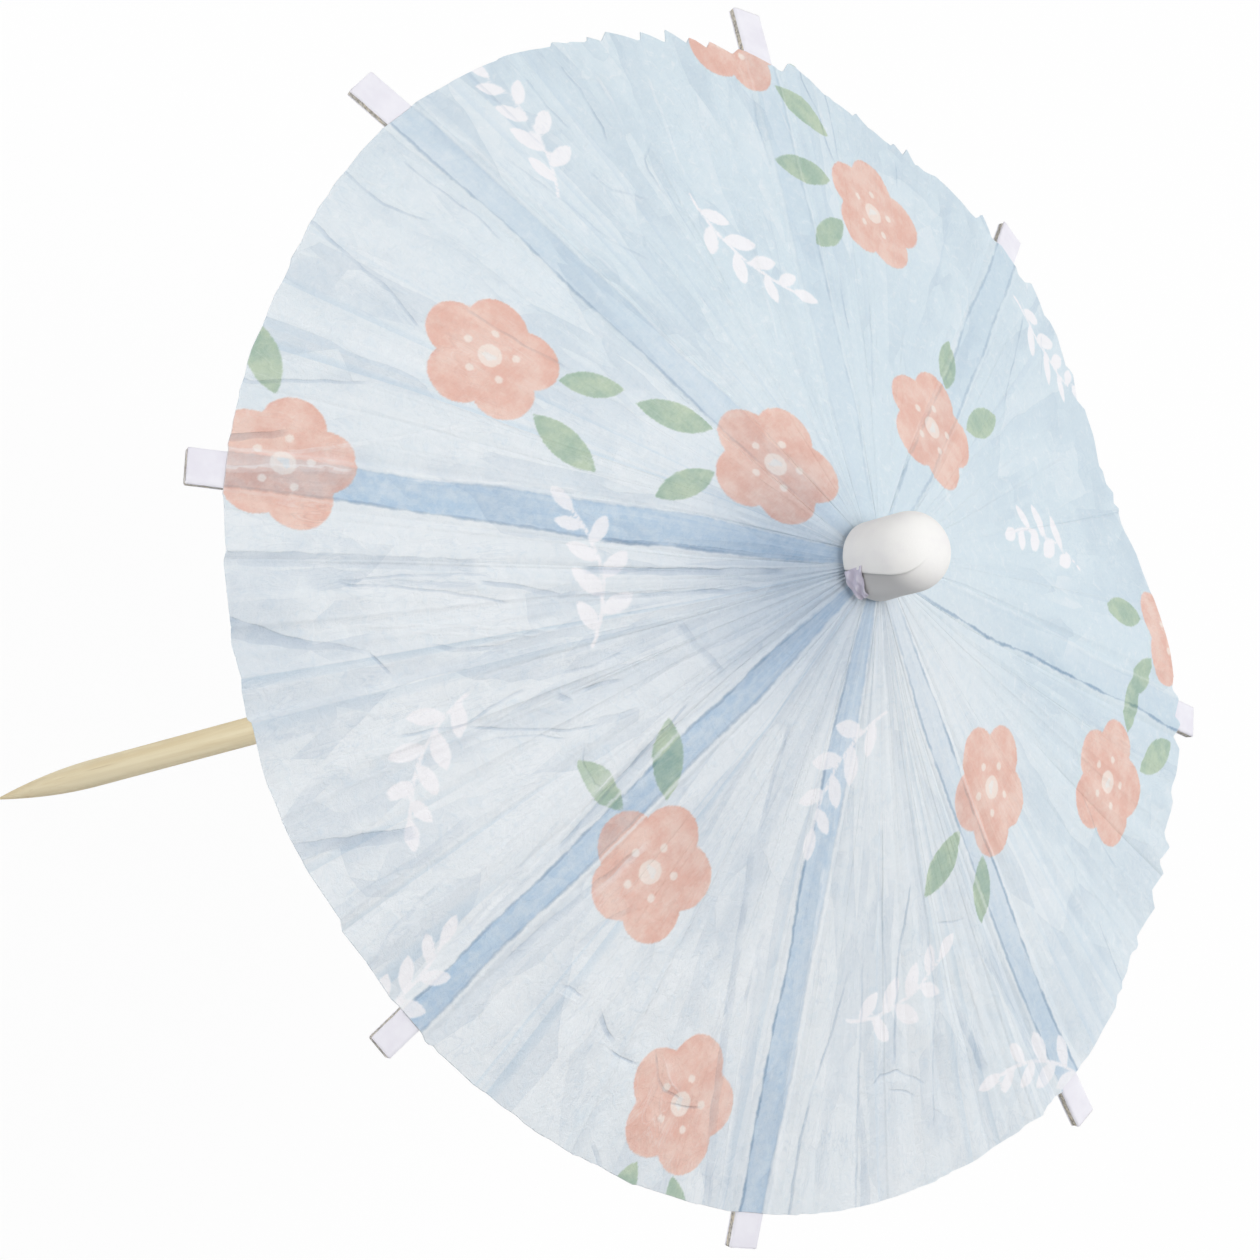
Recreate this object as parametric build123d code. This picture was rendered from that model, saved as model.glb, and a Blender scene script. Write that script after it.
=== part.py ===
from build123d import *
from math import atan2, cos, degrees, hypot, radians, sin, tan
import os

# Cocktail umbrella pick: a paper parasol on a wooden pick, open, with the pick's point at the origin.
# Card ribs are creased at the crown, and each carries its own share of the pleated paper.
# Card stretchers run from the ribs to a runner that slides on the pick. The crown crease, rib crease and
# runner crease of one arm make an isosceles triangle, so the runner stays on the pick's axis as it folds.

# Wooden pick
PICK_LENGTH = 100.0
PICK_RADIUS = 1.0
POINT_LENGTH = 12.0
POINT_FULLNESS = 5.5
POINT_TIP_RADIUS = 0.08
FREE_SHANK_LENGTH = 52.0
BLUNT_END_TAPER = 0.05
BLUNT_END_BEVEL = 0.2

# Fits
GLUE_FILM = 0.02
CREASE_GAP = 0.05
RUNNING_CLEARANCE = 0.06

# Crown: a paper sleeve, the creased feet of the ribs and the wound paper cap that binds them
CROWN_BELOW_TOP = 4.6
SLEEVE_WALL = 0.5
SLEEVE_BELOW_TOP = 0.2
FOOT_THICKNESS = 0.45
FOOT_BELOW_TOP = 0.4
CAP_RADIUS = 2.65
CAP_ROOF = 1.55
CAP_ROUND = 1.25
CAP_SEAT_GAP = 0.15

# Ribs: glued by hand, so each stands a little off an even pitch
RIB_COUNT = 8
RIB_SCATTER_DEG = (-1.0, -3.5, 5.0, 2.5, 0.0, -2.5, 3.5, -3.5)
RIB_LENGTH = 41.8
RIB_WIDTH = 2.3
RIB_TAPER_LENGTH = 10.0
RIB_THICKNESS = 0.6
ROOT_GAP = 0.1
OPEN_SLOPE_DEG = 20.0

# Paper
PAPER_THICKNESS = 0.1
PAPER_LIFT = 0.05
PAPER_EYE_GAP = 0.06
TIP_OVERHANG = 2.5
PLEATS_PER_SIDE = 4
PLEAT_HEIGHT = 0.6
SEAM_DEG = 0.1

# Stretchers
STRETCHER_REACH = 16.0
STRETCHER_THICKNESS = 0.4
STRETCHER_WIDTH = 1.6
HEAD_LENGTH = 4.5
HEAD_BACK = 0.4

# Runner
SCROLL_ABOVE_CREASE = 1.5
SCROLL_LENGTH = 15.0
RUNNER_FOOT_LENGTH = 4.6
COLLAR_WALL = 0.4
COLLAR_DROP = 0.2
COLLAR_LENGTH = 5.0

# Retaining ring
RING_WALL = 0.9
RING_HEIGHT = 2.4
RING_ROUND = 0.35
RING_GAP = 0.15


def rib_angle(number):
    """Azimuth of a rib, in degrees, counted on past a full turn."""
    turns, place = divmod(number, RIB_COUNT)
    return turns * 360 + place * 360 / RIB_COUNT + RIB_SCATTER_DEG[place % len(RIB_SCATTER_DEG)]


# Crown crease, where every rib turns
SLEEVE_RADIUS = PICK_RADIUS + GLUE_FILM + SLEEVE_WALL
CREASE_RADIUS = SLEEVE_RADIUS + GLUE_FILM + FOOT_THICKNESS / 2
CROWN_Z = PICK_LENGTH - CROWN_BELOW_TOP
FOOT_Z = CROWN_Z + RIB_THICKNESS / 2 + CREASE_GAP

# Strip width at a crease: what the two closest ribs leave room for
CLOSEST_PITCH = min(rib_angle(number + 1) - rib_angle(number) for number in range(RIB_COUNT))
ROOT_WIDTH = 2 * (CREASE_RADIUS - RIB_THICKNESS / 2) * tan(radians(CLOSEST_PITCH / 2)) - ROOT_GAP

# Arm triangle: crown crease, rib crease and runner crease
HEAD_DROP = RIB_THICKNESS / 2 + STRETCHER_THICKNESS + CREASE_GAP + STRETCHER_THICKNESS / 2
ARM_LENGTH = hypot(STRETCHER_REACH, HEAD_DROP)
ARM_DEG = OPEN_SLOPE_DEG + degrees(atan2(HEAD_DROP, STRETCHER_REACH))
RUNNER_Z = CROWN_Z - 2 * ARM_LENGTH * sin(radians(ARM_DEG))

# Cone that the paper lies on: it runs just over the top faces of the ribs
SLOPE = tan(radians(OPEN_SLOPE_DEG))
LEAN = cos(radians(OPEN_SLOPE_DEG))
CONE_APEX_Z = CROWN_Z + RIB_THICKNESS / 2 / LEAN + CREASE_RADIUS * SLOPE + PAPER_LIFT
PAPER_UPRIGHT = PAPER_THICKNESS / LEAN
PAPER_RADIUS = CREASE_RADIUS + (RIB_LENGTH - TIP_OVERHANG) * LEAN

# Cap, seated on the paper's eye
CAP_BORE = hypot(CREASE_RADIUS + FOOT_THICKNESS / 2, ROOT_WIDTH / 2) + GLUE_FILM
PAPER_EYE_RADIUS = CAP_BORE + PAPER_EYE_GAP
EYE_RIDGE = PLEAT_HEIGHT * CAP_RADIUS / PAPER_RADIUS
CAP_Z = CONE_APEX_Z - PAPER_EYE_RADIUS * SLOPE + PAPER_UPRIGHT + EYE_RIDGE + CAP_SEAT_GAP
CAP_ROOF_Z = PICK_LENGTH + GLUE_FILM

# Runner and ring
SLIDE_BORE = PICK_RADIUS + RUNNING_CLEARANCE
SCROLL_RADIUS = CREASE_RADIUS - STRETCHER_THICKNESS / 2 - GLUE_FILM
SCROLL_Z = RUNNER_Z + SCROLL_ABOVE_CREASE - SCROLL_LENGTH
RUNNER_FOOT_TOP = RUNNER_Z - STRETCHER_THICKNESS / 2 - CREASE_GAP
COLLAR_BORE = hypot(CREASE_RADIUS + STRETCHER_THICKNESS / 2, ROOT_WIDTH / 2) + GLUE_FILM
COLLAR_TOP = RUNNER_FOOT_TOP - COLLAR_DROP
RING_Z = SCROLL_Z - RING_GAP - RING_HEIGHT

STANDING = (Align.CENTER, Align.CENTER, Align.MIN)


def tube(bore, radius, bottom, top):
    """Plain tube on the pick's axis."""
    height = top - bottom
    wall = Cylinder(radius, height, align=STANDING) - Cylinder(bore, height, align=STANDING)
    return Pos(0, 0, bottom) * wall


def foot_ring(thickness, bottom, top):
    """Creased card ends standing round a sleeve, one below or above each crease."""
    foot = Pos(CREASE_RADIUS, 0, bottom) * Box(thickness, ROOT_WIDTH, top - bottom, align=STANDING)
    return Compound([Rot(0, 0, rib_angle(number)) * foot for number in range(RIB_COUNT)])


def tapered_plan(length, width, taper_length, depth):
    """Prism to trim a card strip with: its plan along +X, widening from the root to full width."""
    half_root = ROOT_WIDTH / 2
    half = width / 2
    outline = Polyline(
        (-depth, -half_root),
        (0, -half_root),
        (taper_length, -half),
        (length, -half),
        (length, half),
        (taper_length, half),
        (0, half_root),
        (-depth, half_root),
        close=True,
    )
    return extrude(make_face(outline), depth, both=True)


def pick():
    """Turned stick: a full, rounded point, a straight free shank and a faint taper to the blunt end."""
    shoulder = (PICK_RADIUS, POINT_LENGTH)
    tip = (POINT_TIP_RADIUS, 0)
    blunt_radius = PICK_RADIUS - BLUNT_END_TAPER
    point = Bezier(shoulder, (PICK_RADIUS, POINT_LENGTH - POINT_FULLNESS), tip)
    side = Polyline(
        shoulder,
        (PICK_RADIUS, POINT_LENGTH + FREE_SHANK_LENGTH),
        (blunt_radius, PICK_LENGTH - BLUNT_END_BEVEL),
        (blunt_radius - BLUNT_END_BEVEL, PICK_LENGTH),
        (0, PICK_LENGTH),
        (0, 0),
        tip,
    )
    return revolve(Plane.XZ * make_face([point, side]), Axis.Z)


def crown_sleeve():
    """Rolled paper sleeve glued to the blunt end, which the rib feet stand round."""
    return tube(PICK_RADIUS + GLUE_FILM, SLEEVE_RADIUS, FOOT_Z, PICK_LENGTH - SLEEVE_BELOW_TOP)


def top_cap():
    """Wound paper cap with a soft rounded end, bound over the rib feet and the end of the pick."""
    body = Cylinder(CAP_RADIUS, CAP_ROOF_Z + CAP_ROOF - CAP_Z, align=STANDING)
    body = fillet(body.edges().sort_by(Axis.Z)[-1], CAP_ROUND)
    body -= Cylinder(CAP_BORE, CAP_ROOF_Z - CAP_Z, align=STANDING)
    return Pos(0, 0, CAP_Z) * body


def on_rib(shape, number):
    """Place a shape that is drawn with the crown crease at its origin and the rib along +X."""
    crease = Pos(CREASE_RADIUS, 0, CROWN_Z) * Rot(0, OPEN_SLOPE_DEG, 0)
    return Rot(0, 0, rib_angle(number)) * crease * shape


def rib():
    """Card rib: rounded about its crease, tapered near the crown, square at the tip."""
    strip = Pos(RIB_LENGTH / 2, 0) * Rectangle(RIB_LENGTH, RIB_THICKNESS)
    side_view = Plane.XZ * (strip + Circle(RIB_THICKNESS / 2))
    card = extrude(side_view, RIB_WIDTH / 2, both=True)
    return card & tapered_plan(RIB_LENGTH, RIB_WIDTH, RIB_TAPER_LENGTH, RIB_THICKNESS)


def stretcher_head():
    """Creased outer end of a stretcher, glued flat under its rib."""
    under_rib = (Align.MIN, Align.CENTER, Align.MAX)
    tab = Box(HEAD_LENGTH + HEAD_BACK, STRETCHER_WIDTH, STRETCHER_THICKNESS, align=under_rib)
    return Pos(STRETCHER_REACH - HEAD_BACK, 0, -RIB_THICKNESS / 2) * tab


def stretcher(number):
    """Card stretcher from the runner crease out to the rib crease, rounded about both."""
    side_view = Plane.XZ * Pos(ARM_LENGTH / 2, 0) * SlotCenterToCenter(ARM_LENGTH, STRETCHER_THICKNESS)
    card = extrude(side_view, STRETCHER_WIDTH / 2, both=True)
    card &= tapered_plan(ARM_LENGTH + STRETCHER_THICKNESS, STRETCHER_WIDTH, ARM_LENGTH, STRETCHER_THICKNESS)
    crease = Pos(CREASE_RADIUS, 0, RUNNER_Z) * Rot(0, -ARM_DEG, 0)
    return Rot(0, 0, rib_angle(number)) * crease * card


def paper_gore(number):
    """One rib's share of the paper, out to the valley folds halfway to its neighbours.

    All folds run to the cone's apex, and two lines through one point lie in a plane, so every pleat is a
    flat facet from the eye to the rim.
    """
    here = rib_angle(number)
    first = (rib_angle(number - 1) - here + SEAM_DEG) / 2
    last = (rib_angle(number + 1) - here - SEAM_DEG) / 2
    steps = 2 * PLEATS_PER_SIDE
    folds = [first * (steps - step) / steps for step in range(steps)]
    folds += [last * step / steps for step in range(steps + 1)]

    def corner(fold, radius, side):
        """Point on a fold line. Folds alternate between valleys on the cone and ridges above it."""
        ridge = PLEAT_HEIGHT / PAPER_RADIUS if fold % 2 else 0
        height = CONE_APEX_Z - radius * (SLOPE - ridge) + side * PAPER_UPRIGHT
        turn = radians(folds[fold])
        return Vector(radius * cos(turn), radius * sin(turn), height)

    def facet(*corners):
        """Flat face through corners given as fold, radius and side."""
        return Face(Wire.make_polygon([corner(*each) for each in corners]))

    eye, rim = PAPER_EYE_RADIUS, PAPER_RADIUS
    end = len(folds) - 1
    faces = [facet((fold, eye, 0), (fold, rim, 0), (fold, rim, 1), (fold, eye, 1)) for fold in (0, end)]
    for fold in range(end):
        after = fold + 1
        for side in (0, 1):
            faces.append(facet((fold, eye, side), (fold, rim, side), (after, rim, side), (after, eye, side)))
        for edge in (eye, rim):
            faces.append(facet((fold, edge, 0), (after, edge, 0), (after, edge, 1), (fold, edge, 1)))
    return Rot(0, 0, here) * Solid(Shell(faces))


def lock_ring():
    """Moulded ring that grips the pick under the runner and keeps the umbrella open."""
    ring = tube(SLIDE_BORE, SLIDE_BORE + RING_WALL, RING_Z, RING_Z + RING_HEIGHT)
    outer_edges = ring.edges().filter_by(GeomType.CIRCLE).sort_by(SortBy.RADIUS)[-2:]
    return fillet(outer_edges, RING_ROUND)


parts = {
    "pick": pick(),
    "crown_sleeve": crown_sleeve(),
    "rib_feet": foot_ring(FOOT_THICKNESS, FOOT_Z, PICK_LENGTH - FOOT_BELOW_TOP),
    "top_cap": top_cap(),
    "runner_scroll": tube(SLIDE_BORE, SCROLL_RADIUS, SCROLL_Z, SCROLL_Z + SCROLL_LENGTH),
    "stretcher_feet": foot_ring(
        STRETCHER_THICKNESS, RUNNER_FOOT_TOP - RUNNER_FOOT_LENGTH, RUNNER_FOOT_TOP
    ),
    "runner_collar": tube(COLLAR_BORE, COLLAR_BORE + COLLAR_WALL, COLLAR_TOP - COLLAR_LENGTH, COLLAR_TOP),
    "lock_ring": lock_ring(),
}
for number in range(RIB_COUNT):
    label = number + 1
    parts[f"rib_{label}"] = on_rib(rib(), number)
    parts[f"stretcher_head_{label}"] = on_rib(stretcher_head(), number)
    parts[f"stretcher_{label}"] = stretcher(number)
    parts[f"paper_gore_{label}"] = paper_gore(number)

os.makedirs("parts", exist_ok=True)
for name, shape in parts.items():
    export_step(shape, f"parts/{name}.step")
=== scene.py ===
"""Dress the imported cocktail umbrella: printed tissue, card ribs, wound paper cap, wooden pick and a white studio."""

from __future__ import annotations

import logging
import math
from dataclasses import dataclass, field
from enum import Enum

import bpy
import numpy as np
from mathutils import Matrix, Vector


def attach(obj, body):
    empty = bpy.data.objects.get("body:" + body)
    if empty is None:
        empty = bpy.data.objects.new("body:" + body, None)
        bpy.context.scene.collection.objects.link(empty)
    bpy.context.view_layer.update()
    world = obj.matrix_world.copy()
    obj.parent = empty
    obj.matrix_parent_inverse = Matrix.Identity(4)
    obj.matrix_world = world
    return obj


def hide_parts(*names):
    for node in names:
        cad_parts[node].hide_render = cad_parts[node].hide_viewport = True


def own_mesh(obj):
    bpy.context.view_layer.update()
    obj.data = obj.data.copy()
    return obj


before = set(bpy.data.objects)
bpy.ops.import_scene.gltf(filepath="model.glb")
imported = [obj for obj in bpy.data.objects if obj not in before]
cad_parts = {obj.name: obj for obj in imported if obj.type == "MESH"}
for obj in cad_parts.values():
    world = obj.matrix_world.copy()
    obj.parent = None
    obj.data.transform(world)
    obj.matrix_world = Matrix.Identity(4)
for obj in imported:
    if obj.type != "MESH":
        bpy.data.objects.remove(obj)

LOG = logging.getLogger("umbrella")
MM = 0.001
RIBS = 8
FAR = 1e9
CLAMP = 3.0
SINES = 7
SINE_STRETCH = (0.6, 1.6)
SINE_PEAK = 3.2
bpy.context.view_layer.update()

Array = np.ndarray
Colour = tuple[float, float, float, float]
Spot = tuple[float, float, float, float]
Socket = bpy.types.NodeSocket
Material = bpy.types.Material
Piece = bpy.types.Object


def paint(red: int, green: int, blue: int) -> Colour:
    """Turn a screen colour into the linear colour that a shader takes, by the sRGB curve.

    Args:
        red: Red from 0 to 255.
        green: Green from 0 to 255.
        blue: Blue from 0 to 255.

    Returns:
        The linear colour with full alpha.
    """
    screen = np.array([red, green, blue]) / 255.0
    linear = np.where(screen <= 0.04045, screen / 12.92, ((screen + 0.055) / 1.055) ** 2.4)
    return (*[float(c) for c in linear], 1.0)


def smoothstep(low: float, high: float, x: Array) -> Array:
    """Ease from 0 at low to 1 at high with the cubic 3t^2 - 2t^3.

    Args:
        low: Where the result is 0.
        high: Where the result is 1.
        x: Values to ease.

    Returns:
        The eased values.
    """
    t = np.clip((x - low) / (high - low), 0.0, 1.0)
    return t * t * (3.0 - 2.0 * t)


def zigzag(u: Array) -> Array:
    """Triangle wave: the distance from u to the nearest whole number, from 0 to 0.5."""
    return np.abs(u - np.round(u))


def ripple(x: Array, y: Array, pitch: float, seed: int) -> Array:
    """Smooth uneven field between about -1 and 1: a mean of sines that run in random directions.

    Args:
        x: First coordinate, in the unit of pitch.
        y: Second coordinate.
        pitch: Usual distance between crests.
        seed: Seed of the directions and phases.

    Returns:
        The field at each point.
    """
    draw = np.random.default_rng(seed)
    turns, phases = draw.uniform(0, math.tau, SINES), draw.uniform(0, math.tau, SINES)
    total = np.zeros(np.broadcast(x, y).shape)
    for turn, phase, stretch in zip(turns, phases, draw.uniform(*SINE_STRETCH, SINES)):
        total += np.sin(math.tau * (x * math.cos(turn) + y * math.sin(turn)) / (pitch * stretch) + phase)
    return total / SINE_PEAK


def blots(x: Array, y: Array, spots: tuple[Spot, ...], base: float = 0.0) -> Array:
    """Sum of soft round spots over a base level.

    Args:
        x: Flat place of each vertex.
        y: The other coordinate.
        spots: Azimuth in degrees, distance from the axis, size and strength of each spot.
        base: Level away from all spots.

    Returns:
        The level at each vertex.
    """
    total = np.full(x.shape, base)
    for azimuth, reach, size, strength in spots:
        at = math.radians(azimuth)
        total += strength * np.exp(-((np.hypot(x - reach * math.cos(at), y - reach * math.sin(at)) / size) ** 2))
    return total


def turned(radius: Array, turn: Array, height: Array) -> Array:
    """Points given by radius, azimuth and height, as x, y and z."""
    return np.stack(np.broadcast_arrays(radius * np.cos(turn), radius * np.sin(turn), height), axis=-1)


class Weld(Enum):
    """How the columns of a grid meet: an open strip, or a ring whose last column joins the first."""

    OPEN = 0
    RING = 1


def grid_quads(rows: int, columns: int, weld: Weld, start: int = 0) -> Array:
    """Quads between neighbouring points of a grid that is numbered row by row.

    Args:
        rows: Number of rows.
        columns: Number of columns.
        weld: Whether the last column joins the first.
        start: Number of the grid's first vertex.

    Returns:
        Vertex numbers, four to a face.
    """
    count = columns if weld is Weld.RING else columns - 1
    i, j = np.meshgrid(np.arange(rows - 1), np.arange(count), indexing="ij")
    k = (j + 1) % columns
    faces = np.stack([i * columns + j, (i + 1) * columns + j, (i + 1) * columns + k, i * columns + k], axis=-1)
    return faces.reshape(-1, 4) + start


def new_piece(name: str, points: Array, faces: list[list[int]], smooth: bool = True) -> Piece:
    """Make a mesh object at the origin from points in millimetres.

    Args:
        name: Name of the piece.
        points: Vertices, one row each.
        faces: Vertex numbers of each face, turning outwards.
        smooth: Whether faces shade smoothly.

    Returns:
        The new object, linked to the scene.
    """
    mesh = bpy.data.meshes.new(name)
    mesh.from_pydata((np.asarray(points).reshape(-1, 3) * MM).tolist(), [], faces)
    mesh.polygons.foreach_set("use_smooth", np.full(len(mesh.polygons), smooth))
    mesh.update()
    piece = bpy.data.objects.new(name, mesh)
    bpy.context.scene.collection.objects.link(piece)
    return piece


def write_attribute(piece: Piece, name: str, values: Array) -> None:
    """Store one number or one vector per vertex for a material to read.

    Args:
        piece: Mesh object.
        name: Attribute name.
        values: One row per vertex, of one or three numbers.
    """
    flat = np.asarray(values, np.float32)
    kind, key = ("FLOAT_VECTOR", "vector") if flat.shape[-1] == 3 and flat.ndim > 1 else ("FLOAT", "value")
    piece.data.attributes.new(name, kind, "POINT").data.foreach_set(key, flat.ravel())


def shell(name: str, upper: Array, lower: Array) -> Piece:
    """Close two matching grids into a thin sheet with a wall all round and crisp outer edges.

    The upper grid's faces look up, the lower grid's down, and the wall joins their borders.

    Args:
        name: Name of the piece.
        upper: Upper surface, rows by columns by 3.
        lower: Lower surface of the same shape.

    Returns:
        The sheet. Faces of the lower surface and the wall use the second material slot.
    """
    rows, columns, _ = upper.shape
    count = rows * columns
    top = grid_quads(rows, columns, Weld.OPEN)
    below = grid_quads(rows, columns, Weld.OPEN, count)[:, ::-1]
    number = np.arange(count).reshape(rows, columns)
    rim = np.concatenate([number[0, :], number[1:, -1], number[-1, -2::-1], number[-2:0:-1, 0]])
    after = np.roll(rim, -1)
    wall = np.stack([rim, after, after + count, rim + count], axis=-1)
    faces = np.concatenate([top, below, wall])
    piece = new_piece(name, np.concatenate([upper.reshape(-1, 3), lower.reshape(-1, 3)]), faces.tolist())
    slots = np.concatenate([np.zeros(len(top), int), np.ones(len(below) + len(wall), int)])
    piece.data.polygons.foreach_set("material_index", slots)
    border = np.zeros(2 * count, bool)
    border[rim] = border[rim + count] = True
    ends = np.zeros(2 * len(piece.data.edges), int)
    piece.data.edges.foreach_get("vertices", ends)
    ends = ends.reshape(-1, 2)
    sharp = border[ends].all(axis=1) & ((ends < count).all(axis=1) | (ends >= count).all(axis=1))
    piece.data.attributes.new("sharp_edge", "BOOLEAN", "EDGE").data.foreach_set("value", sharp)
    return piece


def ringed(name: str, rings: Array) -> Piece:
    """Close a stack of rings into a solid, with a fan to the mean point of the first and of the last ring.

    Args:
        name: Name of the piece.
        rings: Points, rings by points round by 3. Rings turn anticlockwise seen from the far end.

    Returns:
        The closed piece.
    """
    rows, columns, _ = rings.shape
    quads = grid_quads(rows, columns, Weld.RING)[:, ::-1]
    first, last = rows * columns, rows * columns + 1
    round_it = np.arange(columns)
    after = (round_it + 1) % columns
    base = (rows - 1) * columns
    fans = np.concatenate([
        np.stack([np.full(columns, first), after, round_it], axis=-1),
        np.stack([np.full(columns, last), base + round_it, base + after], axis=-1),
    ])
    points = np.concatenate([rings.reshape(-1, 3), [rings[0].mean(axis=0)], [rings[-1].mean(axis=0)]])
    return new_piece(name, points, quads.tolist() + fans.tolist())


class Graph:
    """Short hand for wiring the nodes of one material."""

    def __init__(self, name: str) -> None:
        """Start an empty material with a Principled shader on its output.

        Args:
            name: Name of the material.
        """
        self.material = bpy.data.materials.new(name)
        self.material.use_nodes = True
        self.tree = self.material.node_tree
        self.tree.nodes.clear()
        self.output = self.tree.nodes.new("ShaderNodeOutputMaterial")
        self.shader = self.tree.nodes.new("ShaderNodeBsdfPrincipled")
        self.wire(self.shader.outputs[0], self.output.inputs["Surface"])

    def wire(self, source: object, socket: Socket) -> None:
        """Link an output to a socket, or write a plain value or colour on it.

        Args:
            source: Output, value or colour.
            socket: Socket that takes it.
        """
        if isinstance(source, Socket):
            self.tree.links.new(source, socket)
        else:
            socket.default_value = source

    def node(self, kind: str, inputs: dict[str | int, object], **settings: object) -> bpy.types.bpy_prop_collection:
        """Add a node.

        Args:
            kind: Kind of shader node.
            inputs: What goes into its sockets, by name or number.
            settings: Its own properties.

        Returns:
            Its outputs.
        """
        node = self.tree.nodes.new(f"ShaderNode{kind}")
        for key, value in settings.items():
            setattr(node, key, value)
        for key, source in inputs.items():
            self.wire(source, node.inputs[key])
        return node.outputs

    def attribute(self, name: str, vector: bool = False) -> Socket:
        """Read a vertex attribute as a number, or as a vector."""
        return self.node("Attribute", {}, attribute_name=name)["Vector" if vector else "Fac"]

    def place(self, output: str = "Object") -> Socket:
        """Object coordinates, or the object's own normal."""
        return self.node("TexCoord", {})[output]

    def stretch(self, vector: object, scale: tuple[float, float, float]) -> Socket:
        """Scale a vector by three factors, to stretch a pattern."""
        return self.node("Mapping", {"Vector": vector, "Scale": scale})[0]

    def noise(
        self, vector: object, scale: float, detail: float = 3.0, rough: float = 0.55, bend: float = 0.0,
    ) -> Socket:
        """Fractal noise from 0 to 1."""
        inputs = {"Vector": vector, "Scale": scale, "Detail": detail, "Roughness": rough, "Distortion": bend}
        return self.node("TexNoise", inputs)["Fac"]

    def sums(self, kind: str, *values: object) -> Socket:
        """Arithmetic on numbers, two at a time from the left.

        Args:
            kind: Name of the operation.
            values: One number or more. One alone is for operations that take one.

        Returns:
            The result.
        """
        total = values[0]
        for value in values[1:] or (0.0,):
            total = self.node("Math", {0: total, 1: value}, operation=kind)[0]
        return total

    def times(self, *values: object) -> Socket:
        """Product of numbers."""
        return self.sums("MULTIPLY", *values)

    def plus(self, *values: object) -> Socket:
        """Sum of numbers."""
        return self.sums("ADD", *values)

    def less(self, first: object, second: object) -> Socket:
        """Difference of two numbers."""
        return self.sums("SUBTRACT", first, second)

    def size(self, value: object) -> Socket:
        """A number without its sign."""
        return self.sums("ABSOLUTE", value)

    def vectors(self, kind: str, first: object, second: object, out: str = "Vector") -> Socket:
        """One step of arithmetic on vectors."""
        return self.node("VectorMath", {0: first, 1: second}, operation=kind)[out]

    def facets(self, vector: object, stir: object, scale: float) -> Socket:
        """Crumpled facets: each cell of a stirred vector is a plane with its own tilt.

        Args:
            vector: Place on the sheet.
            stir: Noise that shakes the place.
            scale: Cells per unit.

        Returns:
            Height of the facets from -1 to 1.
        """
        shaken = self.vectors("ADD", vector, self.vectors("MULTIPLY", stir, (0.5, 0.5, 0.0)))
        cell = self.node("TexVoronoi", {"Vector": shaken, "Scale": scale}, voronoi_dimensions="2D")
        tilt = self.vectors("SUBTRACT", cell["Color"], (0.5, 0.5, 0.5))
        slant = self.vectors("DOT_PRODUCT", self.vectors("SUBTRACT", shaken, cell["Position"]), tilt, "Value")
        return self.span(self.times(slant, scale), -0.16, 0.16, -1.0, 1.0)

    def split(self, vector: object) -> list[Socket]:
        """The three numbers of a vector."""
        return list(self.node("SeparateXYZ", {0: vector}))

    def span(
        self, value: object, low: float, high: float, out_low: float = 0.0, out_high: float = 1.0,
    ) -> Socket:
        """Map a range onto another with smooth clamped ends."""
        inputs = {"Value": value, "From Min": low, "From Max": high, "To Min": out_low, "To Max": out_high}
        return self.node("MapRange", inputs, interpolation_type="SMOOTHSTEP")["Result"]

    def mix(self, share: object, first: object, second: object, mode: str = "MIX") -> Socket:
        """Mix two colours by a share from 0 to 1."""
        return self.node("Mix", {0: share, 6: first, 7: second}, data_type="RGBA", blend_type=mode)[2]

    def bump(self, height: object, depth: float, strength: float = 1.0) -> Socket:
        """Normal of a height field whose full range is depth metres deep."""
        return self.node("Bump", {"Strength": strength, "Distance": depth, "Height": height})[0]

    def finish(self, colour: object, rough: object, normal: object = None, shine: float = 0.3) -> Material:
        """Feed the shader and hand over the material.

        Args:
            colour: Base colour.
            rough: Roughness.
            normal: Normal, if there is relief.
            shine: Specular level.

        Returns:
            The material.
        """
        inputs = {"Base Color": colour, "Roughness": rough, "Specular IOR Level": shine}
        for key, source in (inputs if normal is None else {**inputs, "Normal": normal}).items():
            self.wire(source, self.shader.inputs[key])
        return self.material

    def blend(self, share: object, other: Socket) -> None:
        """Put the Principled shader and a share of another shader on the output."""
        both = self.node("MixShader", {0: share, 1: self.shader.outputs[0], 2: other})[0]
        self.wire(both, self.output.inputs["Surface"])

    def let_through(self, colour: object, share: float) -> None:
        """Let a share of the light shine through from behind, as thin paper does."""
        self.blend(share, self.node("BsdfTranslucent", {"Color": colour})[0])


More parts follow.
